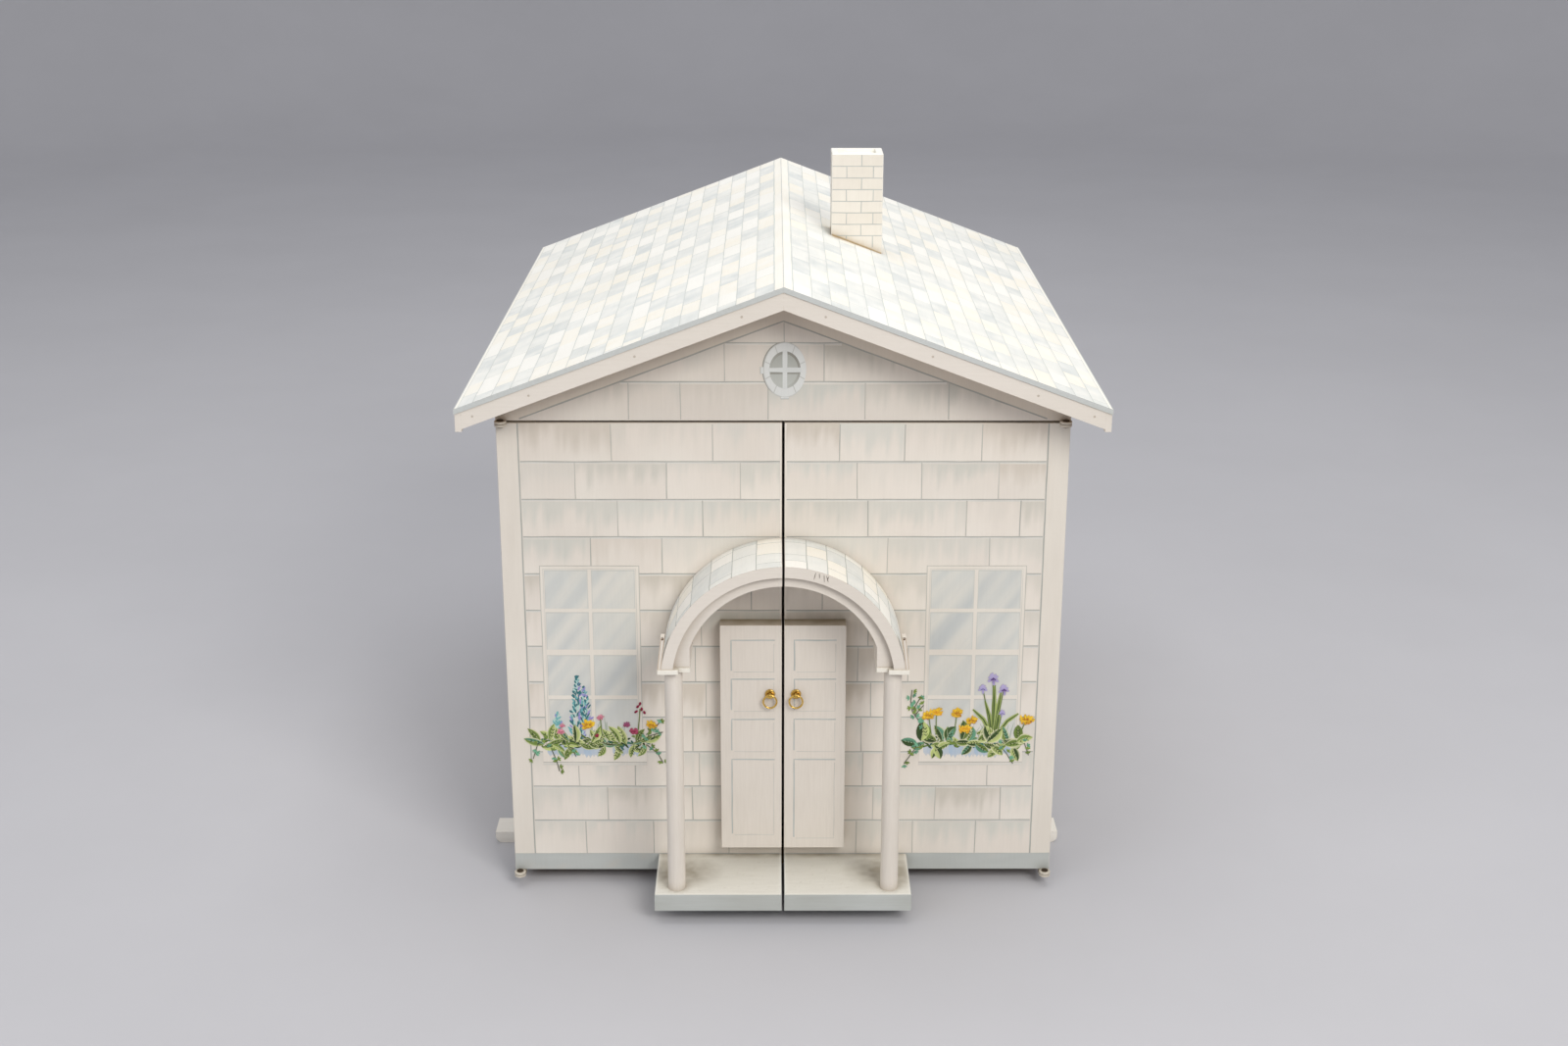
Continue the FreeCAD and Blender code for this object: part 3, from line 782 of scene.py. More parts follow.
# ----------------------------------------------------------------- paintwork
@dataclass
class Masonry:
    """Painted stone blocks: courses of equal height with upright joints."""

    canvas: Canvas
    us: Range
    vs: Range
    courses: int
    joints: dict[int, tuple[float, ...]] = field(default_factory=dict)
    ceiling: Height | None = None
    margin: float = 0.9
    block_length: float = 84.0
    cell: Point = (3.6, 7.0)
    light: float = 1.0

    def course_edges(self, course: int) -> Range:
        """Bottom and top of a course.

        Args:
            course: The course's number, counted from the top.

        Returns:
            Its two heights.
        """
        height = (self.vs[1] - self.vs[0]) / self.courses
        top = self.vs[1] - course * height
        return top - height, top

    def course_joints(self, course: int) -> list[float]:
        """The upright joints of a course, by hand where given, else spaced.

        Args:
            course: The course's number.

        Returns:
            The joints' distances across.
        """
        if course in self.joints:
            return sorted(self.joints[course])
        spots = []
        place = self.us[0] + self.block_length * self.canvas.random.uniform(0.35, 1.0)
        while place < self.us[1] - self.block_length * 0.3:
            spots.append(place)
            place += self.block_length * self.canvas.random.uniform(0.75, 1.3)
        return spots

    def paint(self) -> None:
        """Lay every block's wash, then the lines between them."""
        for course in range(self.courses):
            low, high = self.course_edges(course)
            joints = self.course_joints(course)
            limits = [self.us[0], *joints, self.us[1]]
            self.canvas.level = 0.05
            for left, right in zip(limits, limits[1:]):
                shade = self.block_shade(low, high)
                self.canvas.wash((left, right), (low, high), shade, self.cell, ceiling=self.ceiling)
            if course:
                self.bed_line(high)
            for joint in joints:
                self.upright_line(joint, low, high)

    def block_shade(self, low: float, high: float) -> Shade:
        """The wash of one block: a cooler coat feathered down from its top.

        Args:
            low: The block's bottom.
            high: The block's top.

        Returns:
            The colour at a point.
        """
        rng = self.canvas.random
        lightness = rng.uniform(0.975, 1.025)
        strength = rng.uniform(0.25, 0.95)
        coat = blend(Hue.COOL, Hue.TAUPE, rng.random() ** 1.5)
        reach = rng.uniform(0.25, 0.6)
        seed = rng.uniform(0, 50)

        def shade(u: float, v: float) -> Colour:
            """The block's colour at a point.

            Args:
                u: Distance across.
                v: Distance up.

            Returns:
                The colour.
            """
            rise = min(1.0, max(0.0, (v - low) / (high - low)))
            bristle = cloud(u, v * 0.1, 5.5, seed)
            broad = cloud(u, v * 0.6, 26.0, seed + 4)
            feather = (rise - reach - 0.9 * (bristle - 0.5) + 0.5 * (0.5 - broad)) / 0.45
            colour = blend(Hue.WARM, Hue.LIGHT, 0.9 * (1 - rise) * cloud(u, v, 50, seed + 9))
            colour = blend(colour, coat, strength * min(1.0, max(0.0, feather)))
            return scaled(colour, self.light * lightness * (0.985 + 0.03 * bristle))
        return shade

    def reach(self, height: float) -> Range:
        """How far across a level line can run before the slope cuts it.

        Args:
            height: The line's height.

        Returns:
            Where it starts and ends.
        """
        start, end = self.us[0] + self.margin, self.us[1] - self.margin
        if self.ceiling is None:
            return start, end
        while start < end and self.ceiling(start) < height:
            start += 1.0
        while end > start and self.ceiling(end) < height:
            end -= 1.0
        return start, end

    def bed_line(self, height: float) -> None:
        """A level line: a dark thin stroke over a pale blue-grey one.

        Args:
            height: The line's height.
        """
        start, end = self.reach(height)
        if end - start < 4:
            return
        pale = blend(Hue.LINE_BLUE, Hue.CREAM, 0.35)
        self.canvas.ribbon([(start, height - 1.3), (end, height - 1.3)], 2.8, pale,
                           edge=Hue.CREAM, wobble=0.3, lift=0.08)
        self.canvas.ribbon([(start, height), (end, height)], 1.1, Hue.LINE, wobble=0.35, lift=0.09)

    def upright_line(self, place: float, low: float, high: float) -> None:
        """A joint between two blocks.

        Args:
            place: Its distance across.
            low: The course's bottom.
            high: The course's top.
        """
        if self.ceiling is not None:
            high = min(high, self.ceiling(place))
        if high - low < 3:
            return
        lean = self.canvas.random.uniform(-0.5, 0.5)
        colour = blend(Hue.LINE, Hue.CREAM, self.canvas.random.uniform(0.1, 0.45))
        self.canvas.ribbon([(place, low + 0.8), (place + lean, high - 1.2)],
                           self.canvas.random.uniform(0.9, 1.3), colour, wobble=0.3, lift=0.1)


class Growth(Enum):
    """What grows in a window box."""

    ROUND = "round bloom"
    SPIRE = "tall spire"
    IRIS = "iris"
    SPRIG = "thin sprig of dark blossoms"


@dataclass(frozen=True)
class Flower:
    """One flower: its kind, place, size and two colours."""

    kind: Growth
    at: Point
    size: float
    deep: Hue
    bright: Hue
    root: Point | None = None


@dataclass
class WindowBox:
    """A painted box of leaves and flowers under a painted window."""

    us: Range
    base: float
    flowers: Sequence[Flower]
    vines: Sequence[Sequence[Point]]
    blades: Sequence[Sequence[Point]] = ()
    leaves: int = 44
    leaf_breadth: Range = (0.34, 0.46)
    grasses: Range = (0.4, 0.8)
    face_height: float = 14.0
    canvas: Canvas = field(init=False)

    def paint(self, canvas: Canvas) -> None:
        """Paint the box, then everything that grows in it, back to front.

        Args:
            canvas: The door's painting.
        """
        self.canvas = canvas
        self.paint_box()
        canvas.start_layer(0.32)
        self.paint_grass()
        for flower in self.flowers:
            if flower.kind is Growth.SPIRE:
                self.paint_spire(flower)
        canvas.start_layer(0.44)
        for blade in self.blades:
            self.paint_blade(blade)
        self.paint_foliage()
        canvas.start_layer(0.68)
        for vine in self.vines:
            self.paint_vine(vine)
        painters = {Growth.ROUND: self.paint_round, Growth.IRIS: self.paint_iris,
                    Growth.SPRIG: self.paint_sprig}
        for flower in self.flowers:
            if flower.kind in painters:
                canvas.start_layer(0.8)
                painters[flower.kind](flower)

    def paint_grass(self) -> None:
        """Fine pale blades of grass that stand up behind the leaves."""
        rng = self.canvas.random
        left, right = self.us
        foot = self.base + self.face_height + 10
        pale = blend(Hue.LEAF_TEAL, Hue.CREAM, 0.45)
        for _ in range(16):
            u = left + (right - left) * rng.uniform(*self.grasses)
            lean = rng.uniform(-9, 9)
            height = rng.uniform(14, 30)
            blade = [(u, foot), (u + lean * 0.3, foot + height * 0.55), (u + lean, foot + height)]
            self.canvas.ribbon(blade, 0.8, pale, taper=True, step=4)

    def paint_box(self) -> None:
        """The cream face of the box and the blue shadow of the leaves."""
        left, right = self.us
        top = self.base + self.face_height
        self.canvas.level = 0.26

        def face(u: float, v: float) -> Colour:
            """The face's colour at a point."""
            return blend(Hue.WARM, Hue.LIGHT, cloud(u, v, 30, self.canvas.seed))
        self.canvas.wash((left, right), (self.base, top + 6), face, (10, 7))
        line = blend(Hue.LINE, Hue.CREAM, 0.25)
        self.canvas.level = 0.28
        self.canvas.ribbon([(left, self.base), (right, self.base)], 1.6, line, wobble=0.4)
        self.canvas.ribbon([(left, self.base - 2), (right, self.base - 2)], 3.6,
                           blend(Hue.LINE_BLUE, Hue.CREAM, 0.5),
                           edge=Hue.CREAM, wobble=0.4)
        self.canvas.level = 0.3
        for start in range(int(left) + 6, int(right) - 8, 4):
            if cloud(start, 0, 26, self.canvas.seed + 2) < 0.3:
                continue
            drop = 3 + 8 * cloud(start, 5, 7, self.canvas.seed)
            outline = [(start - 1.5, top + 7), (start - 1, top - drop * 0.3), (start + 2, top - drop),
                       (start + 5, top - drop * 0.4), (start + 6, top + 7)]
            blue = blend(Hue.BOX_BLUE, Hue.CREAM, self.canvas.random.uniform(0.05, 0.4))
            self.canvas.patch(outline, [blue, blue, blend(blue, Hue.CREAM, 0.5), blue, blue])

    def paint_foliage(self) -> None:
        """A hedge of variegated leaves over dark strokes, fanned out along the box."""
        rng = self.canvas.random
        left, right = self.us
        top = self.base + self.face_height + 7
        unders = (Hue.LEAF_DARK, Hue.LEAF_BLUE, Hue.LEAF_GREEN, Hue.LEAF_GREEN)
        for _ in range(self.leaves * 2):
            u = rng.uniform(left - 1, right + 1)
            self.canvas.dab((u, top + rng.uniform(-4, 10) * cloud(u, 0, 12, self.canvas.seed) * 1.6),
                            rng.uniform(5, 10), rng.uniform(1.6, 3.0), rng.uniform(-0.5, 3.6),
                            scaled(rng.choice(unders), rng.uniform(0.8, 1.3)))
        self.canvas.start_layer(0.56)
        for index in range(self.leaves):
            part = (index * 0.618) % 1.0
            u = left - 2 + (right - left + 4) * part
            outward = (part - 0.5) * 2.0
            behind = index < self.leaves * 0.45
            aim = math.pi / 2 - outward * 0.8 + rng.uniform(-1.1, 1.1)
            if not behind:
                aim = rng.choice((0.1, math.pi - 0.1, -0.9, math.pi + 0.9)) + rng.uniform(-0.45, 0.45)
            length = rng.uniform(17, 25) if behind else rng.uniform(13, 20)
            start = (u, top + (rng.uniform(0, 6) if behind else rng.uniform(-3, 5)))
            self.paint_leaf(start, away(start, aim, length))

    def paint_leaf(self, start: Point, end: Point) -> None:
        """One leaf: dark and light halves, a cream rim on most, and short veins.

        Args:
            start: The leaf's foot.
            end: Its tip.
        """
        rng = self.canvas.random
        dark = rng.choice((Hue.LEAF_DARK, Hue.LEAF_GREEN, Hue.LEAF_GREEN))
        light = rng.choice((Hue.LEAF_LIGHT, Hue.LEAF_LIGHT, Hue.LEAF_GREEN, Hue.LEAF_TEAL))
        rim = Hue.LEAF_PALE if rng.random() < 0.7 else None
        length = math.dist(start, end)
        breadth = length * rng.uniform(*self.leaf_breadth)
        self.canvas.leaf(start, end, breadth, scaled(dark, rng.uniform(0.8, 1.25)),
                         scaled(light, rng.uniform(0.9, 1.2)), rim, rng.uniform(-0.14, 0.14))
        aim = math.atan2(end[1] - start[1], end[0] - start[0])
        for part in (0.25, 0.42, 0.6):
            spot = (start[0] + (end[0] - start[0]) * part, start[1] + (end[1] - start[1]) * part)
            for turn in (-0.7, 0.7):
                self.canvas.dab(away(spot, aim + turn, 1.5), 3.6, 0.9, aim + turn,
                                scaled(Hue.LEAF_DARK, 0.8))

    def paint_blade(self, path: Sequence[Point]) -> None:
        """One long strap leaf, from its root to its tip."""
        self.canvas.ribbon(path, 4.6, Hue.LEAF_GREEN, edge=Hue.LEAF_LIGHT, taper=True, step=4)
        self.canvas.ribbon(path, 1.0, Hue.LEAF_DARK, taper=True, step=4)

    def paint_vine(self, path: Sequence[Point]) -> None:
        """A thin trailing stem with small lobed leaves.

        Args:
            path: The stem's points.
        """
        rng = self.canvas.random
        self.canvas.ribbon(path, 0.8, Hue.STEM, wobble=0.8, step=3)
        for point in Canvas.spread(path, 5.5):
            aim = rng.uniform(0, 2 * math.pi)
            leaf = rng.choice((Hue.LEAF_GREEN, Hue.LEAF_TEAL, Hue.LEAF_TEAL))
            colour = scaled(leaf, rng.uniform(0.75, 1.2))
            centre = away(point, aim, 2.4)
            for turn in (-1.0, 0.0, 1.0):
                self.canvas.dab(away(centre, aim + turn, 1.5), 4.0, 1.8, aim + turn, colour,
                                scaled(colour, 1.7))

    def paint_stem(self, flower: Flower) -> None:
        """A stem from the flower's root, when it has one."""
        if flower.root:
            self.canvas.ribbon([flower.root, flower.at], 0.9, Hue.LEAF_GREEN, wobble=0.8, step=4)

    def paint_round(self, flower: Flower) -> None:
        """A full bloom of many short strokes, deep below and bright above.

        Args:
            flower: The bloom; its size is half its width.
        """
        self.paint_stem(flower)
        rng = self.canvas.random
        strokes = 38
        for index in range(strokes):
            aim = rng.uniform(0, 2 * math.pi)
            reach = flower.size * (0.98 - 0.85 * index / strokes) * rng.uniform(0.75, 1.05)
            spot = away(flower.at, aim, reach, 0.74)
            height = 0.5 + 0.5 * math.sin(aim) * reach / flower.size
            share = min(1.0, max(0.0, 0.95 - height + rng.uniform(-0.45, 0.55)))
            colour = blend(flower.bright, flower.deep, share)
            self.canvas.dab(spot, flower.size * rng.uniform(0.5, 0.8),
                            flower.size * rng.uniform(0.24, 0.38), aim * 0.6 + rng.uniform(-0.5, 0.5),
                            scaled(colour, rng.uniform(0.85, 1.1)),
                            scaled(flower.bright, rng.uniform(0.75, 1.2)))
        for index in range(7):
            aim = 0.35 + index * 0.4 + rng.uniform(-0.2, 0.2)
            reach = flower.size * rng.uniform(0.3, 0.62)
            spot = away((flower.at[0], flower.at[1] - 1.0), aim, reach, 0.6)
            self.canvas.dab(spot, flower.size * 0.5, flower.size * 0.12, aim, scaled(flower.deep, 0.9),
                            blend(flower.deep, flower.bright, 0.5))

    def paint_spire(self, flower: Flower) -> None:
        """A tall spire of many small florets, wide below and fine above.

        Args:
            flower: The spire, from its root to its tip; its size is half its
                width at the foot.
        """
        rng = self.canvas.random
        foot = flower.root or (flower.at[0], flower.at[1] - 60)
        height = flower.at[1] - foot[1]
        count = int(height * 2.0)
        for index in range(count):
            part = index / count
            half = flower.size * (1 - part) ** 0.65 + 0.6
            aside = rng.uniform(-1, 1)
            u = foot[0] + (flower.at[0] - foot[0]) * part + aside * half * 0.8
            v = foot[1] + height * part + rng.uniform(-1.5, 1.5)
            colour = rng.choice((flower.deep, flower.deep, flower.bright, Hue.TEAL_PALE))
            if rng.random() < (0.45 if aside > 0.3 else 0.08):
                colour = Hue.LILAC
            self.canvas.dab((u, v), rng.uniform(4.2, 7.2) * (1.05 - 0.4 * part), rng.uniform(1.5, 2.5),
                            math.pi / 2 - aside * 0.7 + rng.uniform(-0.3, 0.3), colour,
                            scaled(colour, 1.15))

    def paint_iris(self, flower: Flower) -> None:
        """Pale petals that stand up and deep ones that fall, on a long stem.

        Args:
            flower: The bloom; its size is half its height.
        """
        self.paint_stem(flower)
        rng = self.canvas.random
        petals = ((1.57, 0.9, 0.0), (1.0, 0.8, 0.15), (2.2, 0.8, 0.1), (0.3, 0.75, 0.25),
                  (2.85, 0.75, 0.2), (-0.55, 0.95, 0.55), (-2.6, 0.95, 0.5), (-1.57, 1.1, 0.8))
        for aim, reach, depth in petals:
            aim += rng.uniform(-0.2, 0.2)
            length = flower.size * reach
            self.canvas.dab(away(flower.at, aim, length * 0.5), length,
                            flower.size * rng.uniform(0.32, 0.46), aim,
                            blend(flower.bright, flower.deep, depth), flower.bright)
        for du, dv, turn in ((0.0, -0.5, 1.3), (-1.6, -1.4, 0.7), (1.7, -1.2, 2.4)):
            self.canvas.dab((flower.at[0] + du, flower.at[1] + dv), flower.size * 0.42,
                            flower.size * 0.2, turn, blend(flower.deep, Hue.PURPLE_DEEP, 0.5))

    def paint_sprig(self, flower: Flower) -> None:
        """A few dark drops on a thin upright stem.

        Args:
            flower: The sprig; its size is a drop's length.
        """
        self.paint_stem(flower)
        for du, dv in ((0, 6), (-4.5, -3.5), (4.5, -4.5), (-2.6, 2.5), (1.6, -0.5)):
            spot = (flower.at[0] + du, flower.at[1] + dv)
            self.canvas.dab(spot, flower.size, flower.size * 0.6, 1.3 + du * 0.15, flower.deep,
                            flower.bright)


@dataclass
class PaintedWindow:
    """A tall window of two by four panes, with light lying across the glass."""

    canvas: Canvas
    us: Range
    vs: Range
    frame_width: float = 4.6
    muntin: float = 3.9
    seed: int = 5
    rows: tuple[Range, ...] = (
        (0.0, 0.216), (0.236, 0.448), (0.480, 0.712), (0.734, 1.0))

    def paint(self) -> None:
        """Paint the frame, the panes and the thin lines around them."""
        left, right = self.us
        low, high = self.vs
        self.canvas.level = 0.15

        def wood(u: float, v: float) -> Colour:
            """The frame's colour at a point."""
            return blend(Hue.LIGHT, Hue.CREAM, cloud(u, v, 40, self.canvas.seed))
        self.canvas.wash((left, right), (low, high), wood, (30, 30))
        fine = blend(Hue.LINE, Hue.CREAM, 0.45)
        inset = 3.4
        for step, colour in ((0.0, fine), (inset, blend(fine, Hue.LIGHT, 0.45))):
            outline = [(left + step, low), (left + step, high - step), (right - step, high - step),
                       (right - step, low)]
            self.canvas.ribbon(outline, 0.9, colour, wobble=0.25, lift=0.17)
        inner_left, inner_right = left + self.frame_width, right - self.frame_width
        inner_high = high - self.frame_width
        middle = (inner_left + inner_right) / 2
        columns = ((inner_left, middle - self.muntin / 2), (middle + self.muntin / 2, inner_right))
        span = inner_high - low
        for row, (from_top, to_low) in enumerate(self.rows):
            for column, (pane_left, pane_right) in enumerate(columns):
                pane = (pane_left, pane_right, inner_high - span * to_low, inner_high - span * from_top)
                self.paint_pane(pane, row * 2 + column)

    def paint_pane(self, pane: tuple[float, float, float, float], number: int) -> None:
        """One pane: a cool wash, slanting streaks and a shaded rim.

        Args:
            pane: Its left, right, low and high edges.
            number: Its number, which varies its streaks.
        """
        left, right, low, high = pane
        seed = self.canvas.seed * 0.37 + number
        self.canvas.level = 0.19
        slant = 0.75

        def glass(u: float, v: float) -> Colour:
            """The glass's colour at a point, streaked along a slant.

            Args:
                u: Distance across.
                v: Distance up.

            Returns:
                The colour.
            """
            across = u - v * slant
            streak = cloud(across, (u + v) * 0.08, 15.0, self.seed) - 0.5
            soft = cloud(u, v, 32.0, seed)
            colour = blend(Hue.PANE, Hue.PANE_BLUE, 0.9 * soft)
            colour = blend(colour, Hue.PANE_LIGHT, 2.6 * max(0.0, streak))
            fine = cloud(across, 0.0, 4.0, seed + 2) - 0.5
            return blend(colour, Hue.PANE_DARK, 2.2 * max(0.0, -streak) + 0.6 * max(0.0, fine))
        self.canvas.wash((left, right), (low, high), glass, (3.0, 3.0))
        rim = blend(Hue.PANE_BLUE, Hue.LINE, 0.45)
        self.canvas.level = 0.21
        self.canvas.ribbon([(left, high - 0.6), (right, high - 0.6)], 1.3, rim, edge=Hue.PANE, lift=0.215)
        self.canvas.ribbon([(right - 0.5, low), (right - 0.5, high)], 1.0, blend(rim, Hue.PANE, 0.35),
                           edge=Hue.PANE, lift=0.213)
        self.canvas.ribbon([(left + 0.3, low), (left + 0.3, high)], 0.7,
                           blend(rim, Hue.PANE, 0.5), lift=0.214)


# -------------------------------------------------------------- sub-assemblies
class Side(Enum):
    """Which half of the house front, as the sign of X."""

    LEFT = -1
    RIGHT = 1

    @property
    def word(self) -> str:
        """The side's name, as the nodes and bodies end."""
        return self.name.lower()

    def span(self, inner: float, outer: float) -> Range:
        """Two distances from the middle as a rising pair of X."""
        return (inner, outer) if self is Side.RIGHT else (-outer, -inner)


@dataclass(frozen=True)
class Span:
    """A node's box at rest, in millimetres."""

    low: Vector
    high: Vector

    @classmethod
    def of(cls, node: str) -> "Span":
        """The box of a named node."""
        low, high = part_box(node)
        return cls(low / MM, high / MM)


X_AXIS, Y_AXIS, Z_AXIS = Vector((1, 0, 0)), Vector((0, 1, 0)), Vector((0, 0, 1))


def facing_front(y: float) -> FlatSurface:
    """The face at depth y that looks forward, painted in X and Z."""
    return FlatSurface(Vector((0, y * MM, 0)), X_AXIS, Z_AXIS)


def facing_up(z: float) -> FlatSurface:
    """The face at height z that looks up, painted in X and Y."""
    return FlatSurface(Vector((0, 0, z * MM)), X_AXIS, Y_AXIS)


def roof_slope(sheet: Span, reach: float) -> float:
    """The roof's fall for each step sideways, from its sheet's box and its eave's reach."""
    return (sheet.high.z - sheet.low.z - SHEET_THICKNESS) / reach


class Finishes:
    """Every material of the house, made once."""

    def __init__(self) -> None:
        """Mix all the finishes."""
        self.cream = BrushedPaint("cream_paint", tone(229, 221, 210)).make()
        self.art = BrushedPaint("painted_decoration", None, streaks=0.05, unevenness=0.08, wear=0.0,
                                grime=0.28, roughness=0.58, gloss=0.25).make()
        self.roof_art = BrushedPaint("painted_shingles", None, grain=Grain.DEEP, streaks=0.05,
                                     unevenness=0.08, wear=0.0, grime=0.4, roughness=0.66,
                                     gloss=0.15).make()
        self.grey_edge = BrushedPaint("sheet_edge_paint", Hue.SHEET_EDGE, grain=Grain.DEEP,
                                      wear=0.4, grime=0.2).make()
        self.step_grey = BrushedPaint("step_grey_paint", Hue.BAND, grain=Grain.ACROSS,
                                      wear=0.7, unevenness=0.3).make()
        self.chimney = BrushedPaint("chimney_paint", tone(248, 246, 238), wear=0.15, grime=0.1,
                                    streaks=0.04).make()
        self.interior = BrushedPaint("interior_paint", tone(228, 221, 208), wear=0.4,
                                     unevenness=0.25).make()
        self.timber = SealedTimber("bare_timber").make()
        self.brass = AgedMetal("aged_brass", tone(232, 194, 104), tone(158, 120, 52)).make()
        self.knuckle = BrushedPaint("hinge_paint", tone(208, 200, 186), grain=Grain.LOOSE, wear=0.9,
                                    grime=0.9).make()
        self.rivet = AgedMetal("hinge_rivets", tone(92, 78, 64), tone(40, 30, 24), 0.45).make()
        self.steel = AgedMetal("dull_steel", tone(170, 168, 164), tone(96, 90, 84), 0.38).make()
        self.nail = BrushedPaint("filled_nail_heads", tone(208, 197, 182), grain=Grain.LOOSE,
                                 wear=0.0).make()
        self.capital = BrushedPaint("capital_paint", tone(244, 239, 227), grain=Grain.LOOSE,
                                    wear=0.9).make()
        self.runner = BrushedPaint("runner_end_paint", tone(248, 243, 234), grain=Grain.ACROSS,
                                   wear=0.8, unevenness=0.15, grime=0.15).make()
        self.board = BrushedPaint("board_paint", tone(229, 221, 210), grain=Grain.ACROSS,
                                  streaks=0.06).make()


@dataclass
class Painting:
    """A painted part of the house, and the materials that it may use."""

    finishes: Finishes


@dataclass
class DoorPainting(Painting):
    """The stone wall, window and flowers painted on one front door."""

    side: Side
    joints: dict[int, tuple[float, ...]]
    box: WindowBox
    trim_at: float = 277.3
    band_top: float = BAND_TOP
    courses: int = WALL_COURSES
    window: Range = (154.0, 260.0)
    window_height: Range = (170.0, 379.0)
    seed: int = 11

    def build(self) -> None:
        """Paint the door's face."""
        panel = Span.of(f"door_panel_{self.side.word}")
        canvas = Canvas(f"door_painting_{self.side.word}", facing_front(panel.low.y), self.seed)
        inner = min(abs(panel.low.x), abs(panel.high.x))
        outer = max(abs(panel.low.x), abs(panel.high.x))
        us = self.side.span(inner + 0.3, self.trim_at)
        wall = Masonry(canvas, us, (self.band_top, panel.high.z - 0.4), self.courses,
                       {row: tuple(self.side.value * at for at in spots)
                        for row, spots in self.joints.items()})
        wall.paint()
        self.paint_trim(canvas, panel, inner, outer)
        window = PaintedWindow(canvas, self.side.span(*self.window), self.window_height, seed=self.seed)
        window.paint()
        self.box.paint(canvas)
        canvas.lay(f"door_{self.side.word}", self.finishes.art)

    def paint_trim(self, canvas: Canvas, panel: Span, inner: float, outer: float) -> None:
        """Paint the plain corner strip, the base band and the worn door edges.

        Args:
            canvas: The door's painting.
            panel: The door panel's box.
            inner: Distance of its inner edge from the middle.
            outer: Distance of its outer edge from the middle.
        """
        canvas.start_layer(0.11)

        def strip(u: float, v: float) -> Colour:
            """The corner strip's colour at a point."""
            shade = blend(Hue.CREAM, Hue.LIGHT, 0.6 * cloud(u, v * 0.2, 20, 3))
            return scaled(shade, 0.97 + 0.05 * cloud(u, v * 0.1, 5, 8))
        low, high = panel.low.z + 0.4, panel.high.z - 0.4
        canvas.wash(self.side.span(self.trim_at, outer - 0.4), (low, high), strip, (4, 20))

        def band(u: float, v: float) -> Colour:
            """The base band's colour at a point.

            Args:
                u: Distance across.
                v: Distance up.

            Returns:
                The colour.
            """
            rubbed = max(0.0, cloud(u, v, 16, 21) - 0.62) * 1.6
            shade = blend(Hue.BAND, Hue.TAUPE, rubbed)
            return scaled(shade, 0.93 + 0.1 * cloud(u * 0.2, v, 6, 5))
        canvas.wash(self.side.span(inner + 0.3, outer - 0.4), (low, self.band_top), band, (6, 5),
                    lift=0.13)
        line_at = self.side.value * self.trim_at
        trim_line = [(line_at, self.band_top), (line_at, high)]
        canvas.ribbon(trim_line, 2.6, blend(Hue.LINE_BLUE, Hue.CREAM, 0.35), edge=Hue.CREAM,
                      wobble=0.3, step=12)
        canvas.ribbon(trim_line, 1.3, Hue.LINE, wobble=0.3, step=12)
        ends = self.side.span(inner + 0.4, outer - 0.5)
        dark = blend(Hue.LINE, Hue.BAND, 0.4)
        canvas.ribbon([(ends[0], self.band_top), (ends[1], self.band_top)], 1.0, dark,
                      wobble=0.3, step=12)
        bright = self.side.value * (inner + 1.4)
        canvas.ribbon([(bright, self.band_top), (bright, high)], 1.8, Hue.LIGHT,
                      edge=Hue.WARM, wobble=0.3, step=12)


@dataclass
class MockDoor(Painting):
    """The panelled half door that stands on one front door, with its ring pull."""

    side: Side
    rows: Sequence[Range]
    panel_at: Range
    seed: int = 31

    def build(self) -> None:
        """Draw the panels' lines and the dust on top."""
        door = Span.of(f"mock_door_{self.side.word}")
        canvas = Canvas(f"mock_door_lines_{self.side.word}", facing_front(door.low.y), self.seed)
        left, right = self.panel_at
        colour = blend(Hue.LINE_BLUE, Hue.LINE, 0.45)
        faint = blend(colour, Hue.CREAM, 0.6)
        for top, low in self.rows:
            corner = (left, top)
            canvas.ribbon([(right, top), corner, (left, low)], 1.5, colour, wobble=0.4, step=6)
            canvas.ribbon([(left + 2.5, low - 1.5), (right - 1.0, low - 1.5), (right - 1.0, top - 4)],
                          0.9, faint, wobble=0.4, step=6)
            canvas.ribbon([(right - 2, top + 1.6), (left + 1.5, top + 1.6)], 1.2,
                          Hue.LIGHT, edge=Hue.CREAM, wobble=0.3, step=6)
        body = f"door_{self.side.word}"
        canvas.lay(body, self.finishes.art)
        top = Canvas(f"mock_door_dust_{self.side.word}", facing_up(door.high.z), self.seed + 1)

        def dust(u: float, v: float) -> Colour:
            """The dusty ledge's colour at a point.

            Args:
                u: Distance across.
                v: Distance back.

            Returns:
                The colour.
            """
            back = (v - door.low.y) / (door.high.y - door.low.y)
            amount = 0.25 + 0.75 * back + 0.5 * (cloud(u, v, 9, 2) - 0.5)
            return blend(Hue.TAUPE, Hue.RAW_TOP, amount)
        margin = 0.6
        top.wash((door.low.x + margin, door.high.x - margin),
                 (door.low.y + margin, door.high.y - margin), dust, (4, 3))
        top.lay(body, self.finishes.art)


